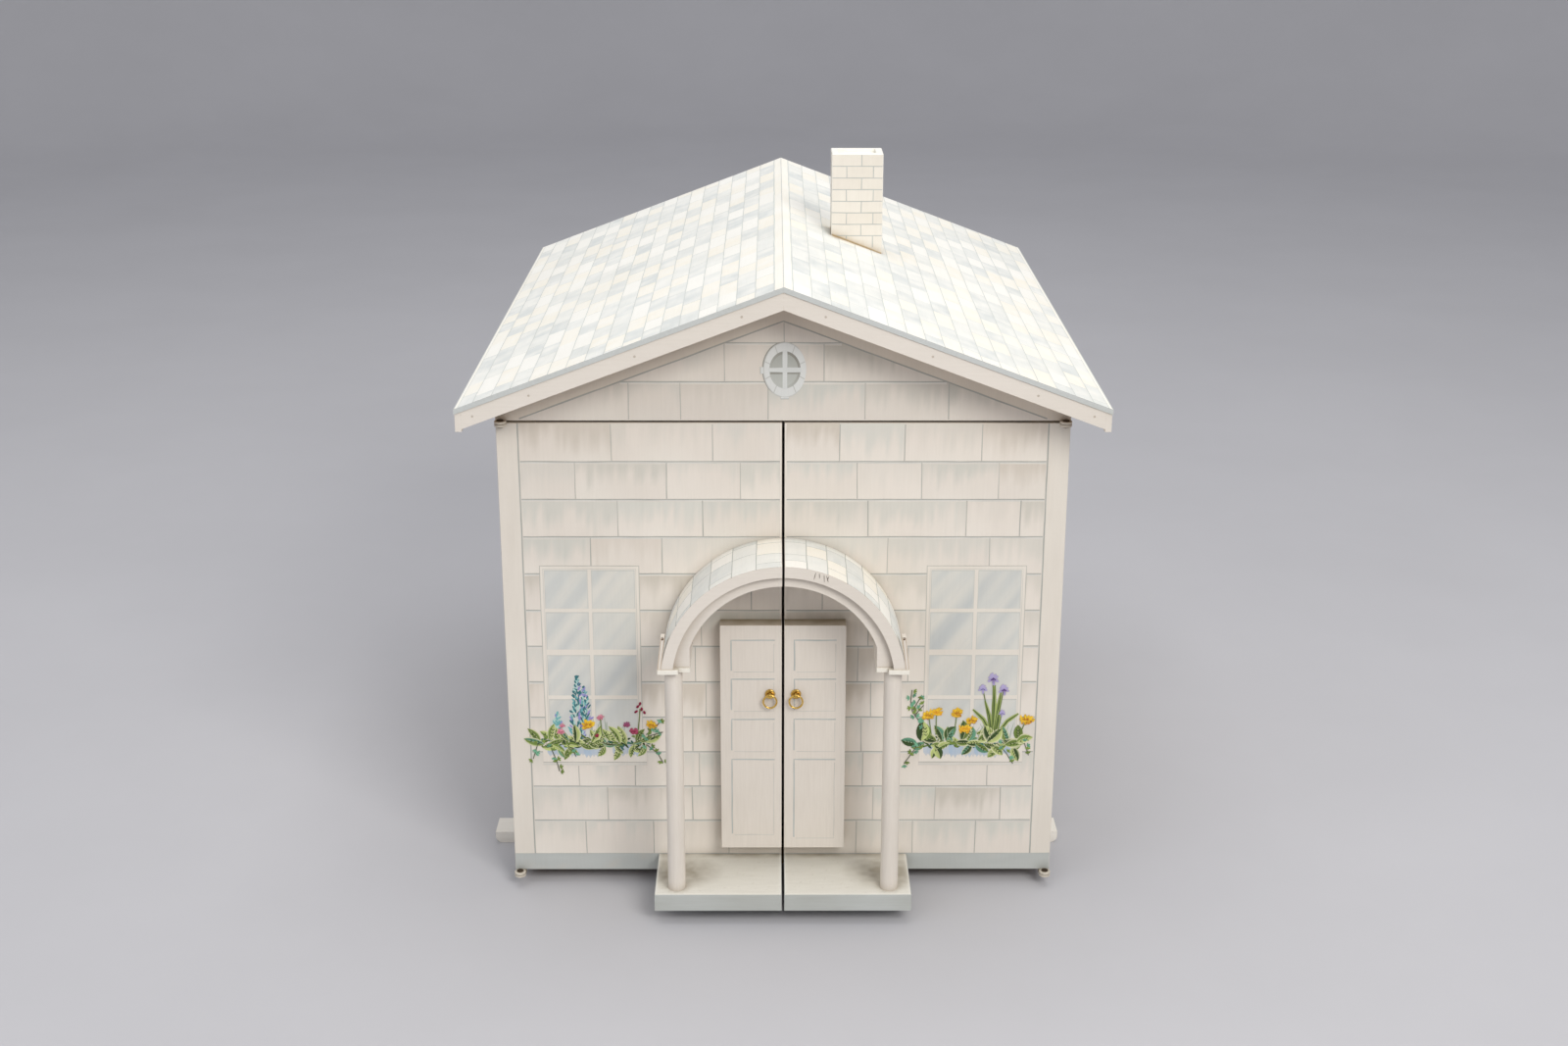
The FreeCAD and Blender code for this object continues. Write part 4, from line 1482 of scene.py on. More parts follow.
@dataclass
class PorchPainting(Painting):
    """Shingles on the arch's back and footmarks on the step of one side."""

    side: Side
    strip: float = 26.6
    reach: float = 183.0
    strip_width: float = 4.2
    cracks: Sequence[Range] = ()
    seed: int = 51

    def build(self) -> None:
        """Paint the vault, the marks on its front and the step."""
        self.paint_vault()
        self.paint_marks()
        self.paint_step()

    def paint_marks(self) -> None:
        """Age the arch's front: nail holes, rubbed strip edges and fine cracks."""
        strip = Span.of(f"arch_side_strip_{self.side.word}")
        canvas = Canvas(f"arch_marks_{self.side.word}", facing_front(strip.low.y), self.seed + 2)
        way = self.side.value
        outer = max(abs(strip.low.x), abs(strip.high.x))
        head = outer - (strip.high.x - strip.low.x - self.strip_width)
        canvas.level = 0.1
        canvas.dab((way * (head - self.strip_width / 2), strip.high.z - 2.4), 2.6, 1.8, 0.4,
                   Hue.NAIL_HOLE)
        for inset in (0.6, self.strip_width - 0.7):
            canvas.ribbon([(way * (outer - inset), strip.low.z + 1),
                           (way * (head - inset), strip.high.z - 1)],
                          0.6, Hue.RUBBED_EDGE, wobble=0.3, step=4)
        canvas.ribbon([(way * (head - 0.8), strip.high.z - 0.8),
                       (way * (head - self.strip_width + 0.8), strip.high.z - 0.8)],
                      0.9, Hue.RUBBED_END, step=2)
        for place, drop in self.cracks:
            top = self.face_height(place)
            lean = canvas.random.uniform(-2.2, 2.2)
            canvas.ribbon([(place, top - 1.5), (place + lean, top - drop)], 0.6, Hue.CRACK,
                          wobble=0.5, taper=True, step=2)
        canvas.lay(f"door_{self.side.word}", self.finishes.art)

    def face_height(self, place: float) -> float:
        """Height of the arch's outer edge at a distance from the middle."""
        centre, radius = self.vault()
        return centre + math.sqrt(radius ** 2 - place ** 2)

    def vault(self) -> Range:
        """Measure the arch.

        Returns:
            Height of its centre, and its outer radius.
        """
        arch = Span.of(f"arch_outer_{self.side.word}")
        rise = arch.high.z - arch.low.z
        half = max(abs(arch.low.x), abs(arch.high.x))
        radius = (half ** 2 + rise ** 2) / (2 * rise)
        return arch.high.z - radius, radius

    def paint_vault(self) -> None:
        """Lay long shingles over the arch, course by course from the crown."""
        arch = Span.of(f"arch_outer_{self.side.word}")
        centre, radius = self.vault()
        surface = VaultSurface(Vector((0, 0, centre * MM)), radius)
        canvas = Canvas(f"arch_shingles_{self.side.word}", surface, self.seed)
        rng = canvas.random
        front, back = arch.low.y + 0.5, arch.high.y - 0.5
        crown = min(abs(arch.low.x), abs(arch.high.x)) + 0.4
        tints = (Hue.ROOF_GREY, Hue.ROOF_WHITE, Hue.ROOF_MIST, Hue.ROOF_CREAM)
        at = crown
        course = 0
        canvas.level = 0.25
        while at < self.reach:
            end = min(self.reach, at + self.strip)
            joints = sorted(front + (back - front) * (index + rng.uniform(0.3, 0.7)) / 3
                            for index in range(3))[course % 2:]
            limits = [front, *joints, back]
            for index, (near, far) in enumerate(zip(limits, limits[1:])):
                tint = tints[(index + course + rng.randrange(2)) % 4]
                seed = rng.uniform(0, 40)

                def shade(u: float, v: float, tint: Colour = tint, seed: float = seed) -> Colour:
                    """The shingle's colour at a point."""
                    bright = blend(tint, Hue.ROOF_WHITE, 0.7 * cloud(u, v, 9, seed))
                    return scaled(bright, 1.05)
                canvas.wash(self.side.span(at, end), (near, far), shade, (4.5, 9))
            line = self.side.value * end
            grey = blend(Hue.ROOF_LINE, Hue.LINE, 0.4)
            if end < self.reach:
                canvas.ribbon([(line, front), (line, back)], 1.0, grey, wobble=0.4, lift=0.28)
            for joint in joints:
                start, stop = self.side.span(at, end)
                canvas.ribbon([(start, joint), (stop, joint)], 0.8, grey, wobble=0.4, step=5, lift=0.28)
            at = end
            course += 1
        canvas.lay(f"door_{self.side.word}", self.finishes.roof_art)

    def paint_step(self) -> None:
        """Rub the top of the step down to cream, with marks round the column."""
        step = Span.of(f"step_{self.side.word}")
        column = Span.of(f"column_{self.side.word}")
        post = ((column.low + column.high) / 2).xy
        canvas = Canvas(f"step_top_paint_{self.side.word}", facing_up(step.high.z), self.seed + 1)

        def shade(u: float, v: float) -> Colour:
            """The step's colour at a point.

            Args:
                u: Distance across.
                v: Distance up.

            Returns:
                The colour.
            """
            depth = (v - step.low.y) / (step.high.y - step.low.y)
            brush = cloud(u * 0.12, v, 3.0, 15)
            colour = blend(Hue.STEP_PALE, Hue.STEP_WORN, 0.75 * depth + 0.35 * brush)
            behind = math.dist((u * 0.8, v), (post.x * 0.8, post.y + 34))
            corner = max(0.0, 1 - behind / 42) * (0.5 + 0.8 * cloud(u, v, 7, 12))
            colour = blend(colour, Hue.STEP_SHADE, min(0.85, 1.15 * corner))
            ring = max(0.0, 1 - (math.dist((u, v), post) - 9) / 7) * cloud(u, v, 5, 40)
            colour = blend(colour, Hue.STEP_RING, 0.6 * ring)
            rear = max(0.0, (v - step.high.y + 12) / 12) * cloud(u, v, 12, 31)
            colour = blend(colour, Hue.STEP_DIRT, 0.9 * rear)
            speck = max(0.0, cloud(u, v, 2.6, 77) - 0.7) * 2.2
            colour = blend(colour, Hue.STEP_SPECK, 0.5 * speck)
            rim = min(abs(v - step.low.y), abs(abs(u) - abs(step.high.x)), abs(abs(u) - abs(step.low.x)))
            return blend(colour, Hue.STEP_RIM, 0.9 * max(0.0, 1 - rim / 3.5))
        margin = 0.7
        canvas.wash((step.low.x + margin, step.high.x - margin),
                    (step.low.y + margin, step.high.y - margin), shade, (2.2, 2.2))
        canvas.lay(f"door_{self.side.word}", self.finishes.art)


@dataclass
class GablePainting(Painting):
    """Stone courses and the oval window on the gable over the doors."""

    course: float = 41.3
    joints: dict[int, tuple[float, ...]] = field(default_factory=lambda: {
        0: (1.0,), 1: (-61.0, 42.0), 2: (-161.0, -107.0, -16.0, 85.0, 172.0)})
    slope: float = ROOF_FALL
    line_peak: float = 646.0
    window_at: Point = (1.6, 594.5)
    window_size: Point = (22.1, 29.0)
    glass_size: Point = (16.2, 19.8)
    seed: int = 71

    def build(self) -> None:
        """Paint the gable."""
        gable = Span.of("gable_front")
        canvas = Canvas("gable_painting", facing_front(gable.low.y), self.seed)
        low = gable.low.z + 0.4
        half = min(-gable.low.x, gable.high.x) - 1.0

        def painted_line(u: float) -> float:
            """Height of the line that runs beside the roof."""
            return self.line_peak - abs(u) * self.slope

        wall = Masonry(canvas, (-half, half), (low, low + 3 * self.course), 3, self.joints,
                       ceiling=painted_line, light=0.9)
        wall.paint()
        band = blend(Hue.TAUPE, Hue.CREAM, 0.35)

        def shaded(u: float, v: float) -> Colour:
            """The colour of the strip under the roof at a point."""
            return scaled(band, 1.02 + 0.1 * cloud(u, v, 18, 5))
        canvas.level = 0.06
        for us in ((-half, 0), (0, half)):
            canvas.wash(us, (low, gable.high.z), shaded, (8, 10), floor=painted_line,
                        ceiling=lambda u: painted_line(u) + 30)
        canvas.level = 0.1
        ends = min(half - 3, (self.line_peak - low - 1.5) / self.slope)
        canvas.ribbon([(-ends, painted_line(ends)), (0, self.line_peak), (ends, painted_line(ends))],
                      1.5, Hue.LINE, wobble=0.3)
        self.paint_oval(canvas)
        canvas.lay("house", self.finishes.art)

    def oval(self, size: Point, count: int = 36) -> list[Point]:
        """Points round an oval about the window's middle.

        Args:
            size: Half its width and half its height.
            count: How many points.

        Returns:
            The points, anticlockwise.
        """
        return [
            (self.window_at[0] + size[0] * math.cos(2 * math.pi * index / count),
             self.window_at[1] + size[1] * math.sin(2 * math.pi * index / count))
            for index in range(count)
        ]

    def paint_oval(self, canvas: Canvas) -> None:
        """Paint the ring of stones, the glass and its bars.

        Args:
            canvas: The gable's painting.
        """
        ring_u, ring_v = self.window_size
        glass_u, glass_v = self.glass_size

        def at(du: float, dv: float) -> Point:
            """A point, measured from the window's middle."""
            return self.window_at[0] + du, self.window_at[1] + dv
        shadow = [(u - 1.6, v + 0.6) for u, v in self.oval(self.window_size)]
        canvas.patch(shadow, blend(Hue.LINE, Hue.OVAL_SHADOW, 0.5), 0.2)
        canvas.patch(self.oval(self.window_size), Hue.OVAL_RING, 0.22)
        rim = self.oval(self.glass_size)
        shades = []
        for u, v in rim:
            height, aside = (v - self.window_at[1]) / glass_v, (u - self.window_at[0]) / glass_u
            shades.append(blend(Hue.OVAL_GLASS_LOW, Hue.OVAL_SHADOW, 0.5 + 0.4 * height + 0.25 * aside))
        canvas.patch(rim, shades, 0.24)
        inner = self.oval((glass_u - 2.6, glass_v - 2.8))
        glass = [blend(Hue.OVAL_GLASS_LOW, Hue.OVAL_GLASS, 0.5 + 0.5 * (v - self.window_at[1]) / glass_v)
                 for _, v in inner]
        canvas.patch(inner, glass, 0.26)
        canvas.ribbon([at(-15, -3.6), at(15, -3.6)], 2.2, Hue.OVAL_SHADOW, edge=Hue.OVAL_GLASS, lift=0.275)
        bar = blend(Hue.OVAL_RING, Hue.LINE_BLUE, 0.4)
        canvas.ribbon([at(0, -glass_v - 1), at(0, 20.5)], 4.9, bar, lift=0.29)
        canvas.ribbon([at(-17, 0), at(17, 0)], 4.8, bar, lift=0.295)
        joint = blend(Hue.LINE, Hue.OVAL_RING, 0.4)
        for turn in (18, 62, 118, 162, 200, 238, 302, 340):
            aim = math.radians(turn)
            near = at(glass_u * math.cos(aim), glass_v * math.sin(aim))
            far = at((ring_u - 0.6) * math.cos(aim), (ring_v - 0.6) * math.sin(aim))
            canvas.ribbon([near, far], 0.8, joint, lift=0.3)
        foot = [at(-4.2, -ring_v - 1.8), at(4.2, -ring_v - 1.8)]
        canvas.patch([*foot, at(3.0, -glass_v - 0.5), at(-3.0, -glass_v - 0.5)], Hue.OVAL_RING, 0.31)
        canvas.ribbon(foot, 0.9, joint, lift=0.32)
        nub = -ring_u
        canvas.patch([at(nub - 3.2, -4), at(nub + 1, -4), at(nub + 1, 3), at(nub - 3.2, 3)],
                     Hue.OVAL_RING, 0.23)
        canvas.ribbon([at(nub - 3.2, 3.2), at(nub - 3.2, -4.2)], 0.9, joint, lift=0.33)
        canvas.ribbon(self.oval(self.window_size)[5:32], 0.8, blend(joint, Hue.OVAL_RING, 0.35), lift=0.34)


@dataclass
class RoofPainting(Painting):
    """Watery shingles on one slope, with the ridge strip and the bright eave."""

    side: Side
    course: float = 20.4
    tile: Range = (40.0, 68.0)
    ridge: float = 10.0
    eave: float = 3.2
    seed: int = 91
    mark: Point = (-999.0, 0.0)

    def build(self) -> None:
        """Paint the slope."""
        sheet = Span.of(f"roof_sheet_{self.side.word}")
        reach = max(abs(sheet.low.x), abs(sheet.high.x))
        slope = math.atan(roof_slope(sheet, reach))
        down = Vector((self.side.value * math.cos(slope), 0, -math.sin(slope)))
        back = Y_AXIS * self.side.value
        surface = FlatSurface(Vector((0, 0, sheet.high.z * MM)), down, back)
        canvas = Canvas(f"roof_shingles_{self.side.word}", surface, self.seed)
        if self.side is Side.RIGHT:
            stack = Span.of("chimney")
            self.mark = (stack.low.x / math.cos(slope) + 5.0, stack.low.y - 1.0)
        vs = sorted((self.side.value * sheet.low.y, self.side.value * sheet.high.y))
        front, rear = vs[0] + 0.5, vs[1] - 0.5
        length = reach / math.cos(slope) - 1.2
        self.paint_courses(canvas, (self.ridge, length - self.eave), (front, rear))
        self.paint_ridge(canvas, (front, rear), length)
        canvas.lay("house", self.finishes.roof_art, Slot.SHINGLE)

    def paint_courses(self, canvas: Canvas, us: Range, vs: Range) -> None:
        """Lay the shingles, from the ridge strip down to the eave.

        Args:
            canvas: The slope's painting.
            us: Where the courses start and end, down the slope.
            vs: The front and rear edges.
        """
        rng = canvas.random
        tints = (Hue.ROOF_CREAM, Hue.ROOF_GREY, Hue.ROOF_MIST, Hue.ROOF_GREY,
                 Hue.ROOF_WHITE, Hue.ROOF_CREAM)
        top = us[0]
        last = None
        while top < us[1]:
            low = min(us[1], top + self.course)
            at = vs[0] - rng.uniform(0, self.tile[0])
            canvas.level = 0.05
            while at < vs[1]:
                end = at + rng.uniform(*self.tile)
                tint = rng.choice([item for item in tints if item is not last])
                last = tint
                shade = self.tile_shade(canvas, tint, (top, low))
                start, stop = max(at, vs[0]), min(end, vs[1])
                if stop - start > 1:
                    canvas.wash((top, low), (start, stop), shade, (5.1, 7.0))
                    if stop < vs[1] and rng.random() < 0.8:
                        canvas.ribbon([(top + 0.5, stop), (low - 0.5, stop + rng.uniform(-0.8, 0.8))],
                                      0.6, Hue.ROOF_LINE, wobble=0.4, step=7, lift=0.09)
                at = end
            canvas.ribbon([(low, vs[0]), (low, vs[1])], 0.9, Hue.ROOF_LINE, wobble=0.5,
                          step=14, lift=0.1)
            top = low

    def tile_shade(self, canvas: Canvas, tint: Colour, us: Range) -> Shade:
        """One shingle's watery colour: its tint pools unevenly over cream.

        Args:
            canvas: The slope's painting.
            tint: The shingle's tint.
            us: Its upper and lower edge, down the slope.

        Returns:
            The colour at a point.
        """
        seed = canvas.random.uniform(0, 60)
        depth = canvas.random.uniform(0.7, 1.05)

        def shade(u: float, v: float) -> Colour:
            """The shingle's colour at a point.

            Args:
                u: Distance down the slope.
                v: Distance along the eave.

            Returns:
                The colour.
            """
            pool = cloud(u * 0.8, v, 17, seed)
            brush = cloud(u, v * 0.12, 4.0, seed + 3)
            share = depth * min(1.0, max(0.0, 0.45 + 1.3 * (pool - 0.3) + 0.5 * (brush - 0.5)))
            colour = blend(Hue.ROOF_WHITE, tint, share)
            edge = max(0.0, 1 - (us[1] - u) / 2.5)
            drip = max(0.0, 1 - math.dist((u, v), self.mark) / 13) * (0.4 + 1.2 * cloud(u, v, 5, 9))
            return scaled(blend(colour, Hue.STAIN, 0.75 * drip), 0.985 - 0.03 * edge)
        return shade

    def paint_ridge(self, canvas: Canvas, vs: Range, length: float) -> None:
        """Paint the cream strip along the ridge and the bright line at the eave.

        Args:
            canvas: The slope's painting.
            vs: The front and rear edges.
            length: Length of the slope.
        """
        def cream(u: float, v: float) -> Colour:
            """The strip's colour at a point."""
            return blend(Hue.RIDGE, Hue.ROOF_WHITE, cloud(u, v, 30, 2))
        canvas.level = 0.13
        canvas.wash((0.4, self.ridge), vs, cream, (5, 16))
        canvas.ribbon([(self.ridge, vs[0]), (self.ridge, vs[1])], 1.3, Hue.ROOF_LINE,
                      wobble=0.4, step=14)
        canvas.wash((length - self.eave, length), vs, cream, (3.2, 16))


@dataclass
class ChimneyPainting(Painting):
    """Cream bricks with grey joints on the four sides of the chimney."""

    brick: float = 13.6
    single: float = 0.58
    double: Range = (0.29, 0.81)
    seed: int = 131

    def build(self) -> None:
        """Paint the four faces and the glue marks at the chimney's foot."""
        stack = Span.of("chimney")
        ridge = Span.of("roof_sheet_right")
        reach = max(abs(ridge.low.x), abs(ridge.high.x))
        slope = roof_slope(ridge, reach)
        low, high = stack.low, stack.high
        walls = (
            ("front", (low.x, low.y), X_AXIS, high.x - low.x, lambda u: low.x + u),
            ("right", (high.x, low.y), Y_AXIS, high.y - low.y, lambda u: high.x),
            ("back", (high.x, high.y), -X_AXIS, high.x - low.x, lambda u: high.x - u),
            ("left", (low.x, high.y), -Y_AXIS, high.y - low.y, lambda u: low.x),
        )
        for number, (name, corner, across, width, place) in enumerate(walls):
            origin = Vector((corner[0] * MM, corner[1] * MM, 0))
            canvas = Canvas(f"chimney_bricks_{name}", FlatSurface(origin, across, Z_AXIS),
                            self.seed + number)

            def foot(u: float, place: Height = place) -> float:
                """Height of the roof where this wall meets it."""
                return ridge.high.z - place(u) * slope
            self.paint_wall(canvas, width, high.z, foot)
            canvas.lay("house", self.finishes.art, Slot.BRICK)

    def paint_wall(self, canvas: Canvas, width: float, top: float, foot: Height) -> None:
        """Lay one wall's bricks, from the rim down.

        Args:
            canvas: The wall's painting.
            width: The wall's width.
            top: The rim's height.
            foot: The roof's height along the wall.
        """
        rng = canvas.random
        margin = 0.7
        lowest = min(foot(0), foot(width))
        row = 0
        high = top - margin
        while high > lowest:
            low = high - self.brick
            spots = [self.single] if row % 2 == 0 else list(self.double)
            limits = [margin, *[width * at for at in spots], width - margin]
            canvas.level = 0.05
            for left, right in zip(limits, limits[1:]):
                tint = blend(Hue.BRICK, Hue.BRICK_PALE, rng.random())
                seed = rng.uniform(0, 40)

                def shade(u: float, v: float, tint: Colour = tint, seed: float = seed) -> Colour:
                    """The brick's colour, with the glue mark near the roof.

                    Args:
                        u: Distance across.
                        v: Height.
                        tint: The brick's own tint.
                        seed: Seed of its unevenness.

                    Returns:
                        The colour.
                    """
                    wet = max(0.0, 1 - (v - foot(u)) / 7) * (0.4 + 0.9 * cloud(u, v, 8, seed))
                    colour = scaled(tint, 0.97 + 0.05 * cloud(u, v, 7, seed))
                    return blend(colour, Hue.STAIN, 0.7 * wet)
                canvas.wash((left, right), (low, high), shade, (5, 5), floor=foot)
            canvas.level = 0.09
            line = blend(Hue.LINE, Hue.LINE_BLUE, 0.5)
            if row and low > lowest:
                canvas.ribbon([(margin, high), (width - margin, high)], 1.0, line, wobble=0.4)
            for spot in spots:
                at = width * spot
                if high - max(low, foot(at)) > 3:
                    canvas.ribbon([(at, max(low, foot(at))), (at + rng.uniform(-0.4, 0.4), high)],
                                  1.0, line, wobble=0.3, step=5)
            high = low
            row += 1
        canvas.ribbon([(margin, foot(margin) + 0.8), (width - margin, foot(width - margin) + 0.8)],
                      2.2, blend(Hue.STAIN, Hue.GLUE, 0.5),
                      edge=Hue.STAIN, wobble=0.7, step=4)


@dataclass
class WallPainting(Painting):
    """Stone courses on a wall of the house that stands behind the doors."""

    name: str
    node: str
    across: Vector
    out: Vector
    seed: int
    courses: int = WALL_COURSES
    courses_above: int = 1
    fall: float = 0.0
    band_top: float = BAND_TOP
    eave_gap: float = 6.5
    trim: float = 22.0

    def build(self) -> None:
        """Paint the wall."""
        wall = Span.of(self.node)
        corner = Vector([
            (wall.high if self.out[axis] > 0 else wall.low)[axis] if self.out[axis] else 0.0
            for axis in range(3)
        ])
        canvas = Canvas(f"stone_courses_{self.name}", FlatSurface(corner * MM, self.across, Z_AXIS),
                        self.seed)
        ends = sorted((self.across.dot(wall.low), self.across.dot(wall.high)))
        left, right = ends[0] + 0.6, ends[1] - 0.6
        foot = Span.of("base_panel").low.z + 0.6
        door_top = Span.of("door_panel_left").high.z - 0.4
        base = self.band_top
        height = (door_top - base) / self.courses
        rows = self.courses + self.courses_above
        peak = wall.high.z - self.eave_gap

        def ceiling(u: float) -> float:
            """Height under the roof, where the courses stop."""
            return peak - abs(u) * self.fall
        stone = Masonry(canvas, (left + self.trim, right - self.trim), (base, base + rows * height), rows,
                        ceiling=ceiling, cell=(5.0, 8.5))
        stone.paint()
        top = peak - max(abs(left), abs(right)) * self.fall
        canvas.level = 0.11

        def strip(u: float, v: float) -> Colour:
            """The corner strip's colour at a point."""
            return blend(Hue.CREAM, Hue.LIGHT, cloud(u, v * 0.2, 20, 3))

        def grey(u: float, v: float) -> Colour:
            """The base band's colour at a point.

            Args:
                u: Distance across.
                v: Distance up.

            Returns:
                The colour.
            """
            return scaled(Hue.BAND, 0.93 + 0.1 * cloud(u * 0.2, v, 6, 5))
        for us in ((left, left + self.trim), (right - self.trim, right)):
            canvas.wash(us, (foot, top), strip, (11, 20))
        canvas.wash((left, right), (foot, base), grey, (12, 5), lift=0.13)
        for at in (left + self.trim, right - self.trim):
            canvas.ribbon([(at, base), (at, top)], 1.3, Hue.LINE, wobble=0.3, step=14)
        canvas.ribbon([(left, base), (right, base)], 1.0, Hue.LINE, wobble=0.3, step=14)
        canvas.lay("house", self.finishes.art)


@dataclass
class Carcass:
    """Dresses every board, fitting and board edge of the frame."""

    finishes: Finishes

    def dress(self) -> None:
        """Give each node its finish by the first rule that its name meets."""
        made = self.finishes
        rules = (
            ("roof_sheet", made.grey_edge), ("roof_board", made.timber), ("runner", made.runner),
            ("base_panel", made.timber), ("chimney", made.chimney), ("floor", made.interior),
            ("partition", made.interior), ("step", made.step_grey), ("capital", made.capital),
            ("pull", made.brass), ("hinge_pins", made.rivet), ("hinge_screws", made.steel),
            ("hinge", made.knuckle), ("catch", made.steel), ("fascia_nails", made.nail),
            ("fascia", made.board), ("arch", made.board),
        )
        for name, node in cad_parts.items():
            finish = next((item for key, item in rules if name.startswith(key)), made.cream)
            node.data.materials.clear()
            node.data.materials.append(finish)
        LOG.info("dressed %d nodes of the frame", len(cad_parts))


@dataclass
class Studio:
    """The pale floor, the soft lights and the camera."""

    camera_at: tuple[float, float, float] = (-0.01012, -2.38725, 1.12174)
    pitch: float = 18.82
    yaw: float = 0.31
    roll: float = 0.10
    lens: float = 46.63
    floor_radius: float = 5.5
    sweep: float = 1.8
    wall_height: float = 4.0

    def build(self) -> None:
        """Set up everything that isn't the house."""
        self.lay_floor()
        self.hang_lights()
        self.place_camera()
        bpy.context.scene.view_settings.view_transform = "Standard"

    def lay_floor(self) -> None:
        """A round floor that sweeps up into a low wall, alike from every side."""
        profile = [(0.0, 0.0), (2.0, 0.0), (5.0, 0.0), (self.floor_radius, 0.0)]
        for index in range(1, 9):
            turn = math.pi / 2 * index / 8
            profile.append((self.floor_radius + self.sweep * math.sin(turn),
                            self.sweep * (1 - math.cos(turn))))
        profile.append((self.floor_radius + self.sweep, self.wall_height))
        form = bmesh.new()
        dots = [form.verts.new((reach, 0.0, height)) for reach, height in profile]
        lines = [form.edges.new(pair) for pair in zip(dots, dots[1:])]
        bmesh.ops.spin(form, geom=dots + lines, cent=(0, 0, 0), axis=(0, 0, 1),
                       angle=2 * math.pi, steps=72)
        bmesh.ops.remove_doubles(form, verts=form.verts, dist=0.0001)
        for face in form.faces:
            face.smooth = True
        mesh = bpy.data.meshes.new("studio_floor")
        form.to_mesh(mesh)
        form.free()
        mesh.materials.append(StudioFloor().make())
        floor = bpy.data.objects.new("studio_floor", mesh)
        bpy.context.scene.collection.objects.link(floor)

    def hang_lights(self) -> None:
        """A soft key from the right, a fill from the left and one overhead."""
        self.hang("key", (1.8, -3.5, 2.9), 1.8, 105.0, (1.0, 0.98, 0.945))
        self.hang("fill", (-2.8, -2.8, 1.8), 2.6, 27.0, (0.97, 0.985, 1.0))
        self.hang("top", (0.0, 0.1, 3.6), 2.4, 43.0, (1.0, 0.99, 0.97))
        world = bpy.data.worlds.new("studio")
        world.use_nodes = True
        sky = world.node_tree.nodes["Background"]
        sky.inputs["Color"].default_value = (0.93, 0.95, 1.0, 1.0)
        sky.inputs["Strength"].default_value = 0.62
        bpy.context.scene.world = world

    def hang(self, name: str, place: tuple[float, float, float], size: float, power: float,
             colour: Colour) -> None:
        """Hang one square light that points at the house.

        Args:
            name: The light's name.
            place: Where it hangs.
            size: Its width.
            power: Its power in watts.
            colour: Its colour.
        """
        light = bpy.data.lights.new(name, "AREA")
        light.size, light.energy, light.color = size, power, colour
        lamp = bpy.data.objects.new(name, light)
        lamp.location = place
        aim = Vector((0, 0, 0.35)) - Vector(place)
        lamp.rotation_euler = aim.to_track_quat("-Z", "Y").to_euler()
        bpy.context.scene.collection.objects.link(lamp)

    def place_camera(self) -> None:
        """Put the camera at its angle and make it the scene's own."""
        data = bpy.data.cameras.new("camera")
        data.lens, data.sensor_width = self.lens, 36.0
        data.clip_start, data.clip_end = 0.05, 60.0
        camera = bpy.data.objects.new("camera", data)
        turn = Matrix.Rotation(math.radians(-self.yaw), 4, "Z")
        tilt = Matrix.Rotation(math.radians(90 - self.pitch), 4, "X")
        lean = Matrix.Rotation(math.radians(self.roll), 4, "Z")
        camera.matrix_world = Matrix.Translation(self.camera_at) @ turn @ tilt @ lean
        bpy.context.scene.collection.objects.link(camera)
        bpy.context.scene.camera = camera


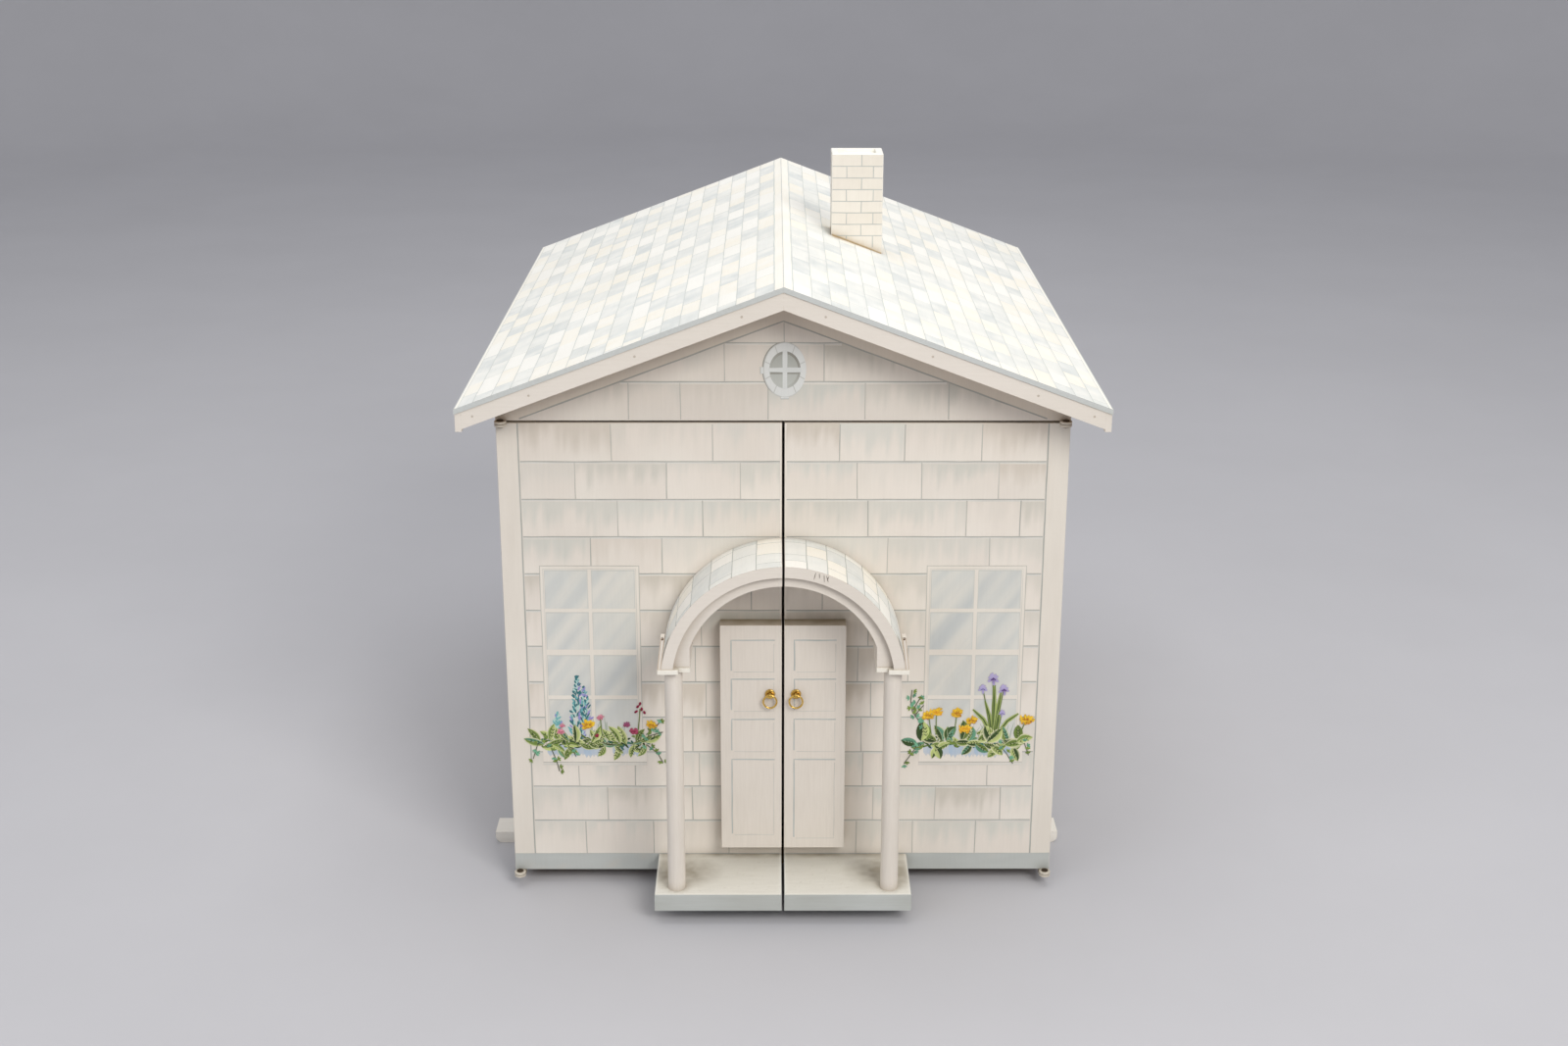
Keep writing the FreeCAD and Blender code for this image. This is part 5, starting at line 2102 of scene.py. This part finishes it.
@dataclass
class Garden:
    """What grows in the two painted window boxes."""

    base: float = 148.5
    near: float = 150.0
    far: float = 264.0

    def left(self) -> WindowBox:
        """Delphiniums and mixed blooms, on the left door.

        Returns:
            The left window box.
        """
        flowers = (
            Flower(Growth.SPIRE, (-224, 252), 10.5, Hue.TEAL_DEEP, Hue.TEAL, (-226, 178)),
            Flower(Growth.SPIRE, (-217, 239), 7.5, Hue.TEAL_DEEP, Hue.TEAL, (-215, 194)),
            Flower(Growth.SPIRE, (-247, 208), 6.0, Hue.TEAL, Hue.TEAL_PALE, (-247, 190)),
            Flower(Growth.ROUND, (-242, 193), 3.2, Hue.PINK_DEEP, Hue.PINK),
            Flower(Growth.ROUND, (-244, 186), 4.4, Hue.CRIMSON, Hue.PINK),
            Flower(Growth.ROUND, (-200, 203), 4.2, Hue.PINK_DEEP, Hue.PINK, (-199, 182)),
            Flower(Growth.ROUND, (-214, 194), 7.6, Hue.RUST, Hue.YELLOW),
            Flower(Growth.ROUND, (-144, 194), 6.2, Hue.RUST, Hue.YELLOW, (-148, 180)),
            Flower(Growth.ROUND, (-204, 181), 2.8, Hue.WINE, Hue.CRIMSON),
            Flower(Growth.ROUND, (-171, 194), 4.2, Hue.CRIMSON, Hue.MAUVE),
            Flower(Growth.ROUND, (-164, 186), 5.2, Hue.WINE, Hue.PINK_DEEP),
            Flower(Growth.SPRIG, (-156, 213), 4.2, Hue.WINE, Hue.CRIMSON, (-160, 180)),
        )
        vines = (
            [(-262, 176), (-270, 170), (-275, 153)], [(-255, 166), (-250, 152), (-247, 138)],
            [(-232, 166), (-228, 156)], [(-150, 170), (-138, 160), (-132, 148)],
            [(-150, 182), (-140, 190), (-133, 201)], [(-148, 180), (-132, 185)],
        )
        return WindowBox((-self.far, -self.near), self.base, flowers, vines)

    def right(self) -> WindowBox:
        """Irises, marigolds and ivy, on the right door.

        Returns:
            The right window box.
        """
        flowers = (
            Flower(Growth.ROUND, (159, 205), 6.8, Hue.RUST, Hue.YELLOW, (163, 182)),
            Flower(Growth.ROUND, (168, 209), 7.0, Hue.ORANGE, Hue.YELLOW, (168, 182)),
            Flower(Growth.ROUND, (191, 208), 7.4, Hue.RUST, Hue.YELLOW, (188, 182)),
            Flower(Growth.ROUND, (207, 199), 6.6, Hue.RUST, Hue.YELLOW, (204, 184)),
            Flower(Growth.ROUND, (200, 189), 6.8, Hue.ORANGE, Hue.YELLOW),
            Flower(Growth.ROUND, (267, 200), 7.6, Hue.RUST, Hue.YELLOW, (260, 180)),
            Flower(Growth.IRIS, (229, 249), 8.0, Hue.PURPLE, Hue.PURPLE_PALE, (230, 185)),
            Flower(Growth.IRIS, (241, 236), 7.2, Hue.PURPLE, Hue.PURPLE_PALE, (233, 185)),
            Flower(Growth.IRIS, (218, 237), 6.0, Hue.LILAC, Hue.PURPLE_PALE, (228, 185)),
            Flower(Growth.IRIS, (240, 208), 4.6, Hue.LILAC, Hue.PURPLE_PALE, (236, 184)),
        )
        vines = (
            [(155, 190), (142, 210), (140, 222), (141, 235)], [(142, 212), (152, 229)],
            [(145, 205), (154, 217)], [(150, 172), (143, 160), (134, 147)],
            [(236, 172), (246, 160), (254, 147)], [(266, 172), (271, 157)],
        )
        blades = (
            [(230, 180), (220, 200), (208, 212)], [(230, 180), (226, 205), (221, 222)],
            [(231, 180), (231, 212), (231, 241)], [(231, 180), (235, 210), (238, 233)],
            [(233, 180), (236, 198), (237, 212)], [(234, 180), (246, 198), (258, 207)],
            [(228, 180), (221, 186), (213, 183)],
        )
        return WindowBox((self.near, self.far), self.base, flowers, vines, blades, leaves=34,
                         leaf_breadth=(0.48, 0.62), grasses=(0.5, 0.9))


def main() -> None:
    """Build and dress the whole house, class by class."""
    logging.basicConfig(level=logging.INFO, format="%(name)s: %(message)s")
    Studio().build()
    finishes = Finishes()
    Carcass(finishes).dress()
    garden = Garden()
    DoorPainting(finishes, Side.LEFT, {
        0: (180, 74), 1: (219, 123, 45), 2: (175, 85), 3: (205, 129), 4: (34,), 5: (88,),
        6: (95,), 7: (84,), 8: (99,), 9: (225, 163, 92), 10: (194, 100), 11: (219, 144, 60),
    }, garden.left(), seed=11).build()
    DoorPainting(finishes, Side.RIGHT, {
        0: (59, 127, 208), 1: (78, 146, 227), 2: (90, 194, 251), 3: (111, 220), 4: (42,),
        5: (92,), 6: (81, 136), 7: (96,), 8: (86,), 9: (88, 226), 10: (100, 169, 242),
        11: (82, 145, 215),
    }, garden.right(), seed=17).build()
    MockDoor(finishes, Side.LEFT, ((301.3, 266.0), (256.0, 220.0), (208.9, 172.0), (161.1, 71.0)),
             (-55.7, -8.9), 31).build()
    MockDoor(finishes, Side.RIGHT, ((301.3, 266.0), (256.0, 220.0), (208.9, 172.0), (161.1, 66.6)),
             (12.2, 57.4), 33).build()
    PorchPainting(finishes, Side.LEFT, seed=50).build()
    PorchPainting(finishes, Side.RIGHT, strip=22.4, seed=52, cracks=(
        (33.0, 9.0), (36.5, 7.0), (41.5, 9.5), (44.0, 8.5), (46.5, 6.0))).build()
    for side in Side:
        RoofPainting(finishes, side, seed=91 + side.value).build()
    GablePainting(finishes).build()
    ChimneyPainting(finishes).build()
    WallPainting(finishes, "right", "side_wall_right", Y_AXIS, X_AXIS, 151).build()
    WallPainting(finishes, "left", "side_wall_left", -Y_AXIS, -X_AXIS, 152).build()
    WallPainting(finishes, "back", "back_panel", -X_AXIS, Y_AXIS, 153, courses_above=3,
                 fall=ROOF_FALL).build()


if __name__ == "__main__":
    main()
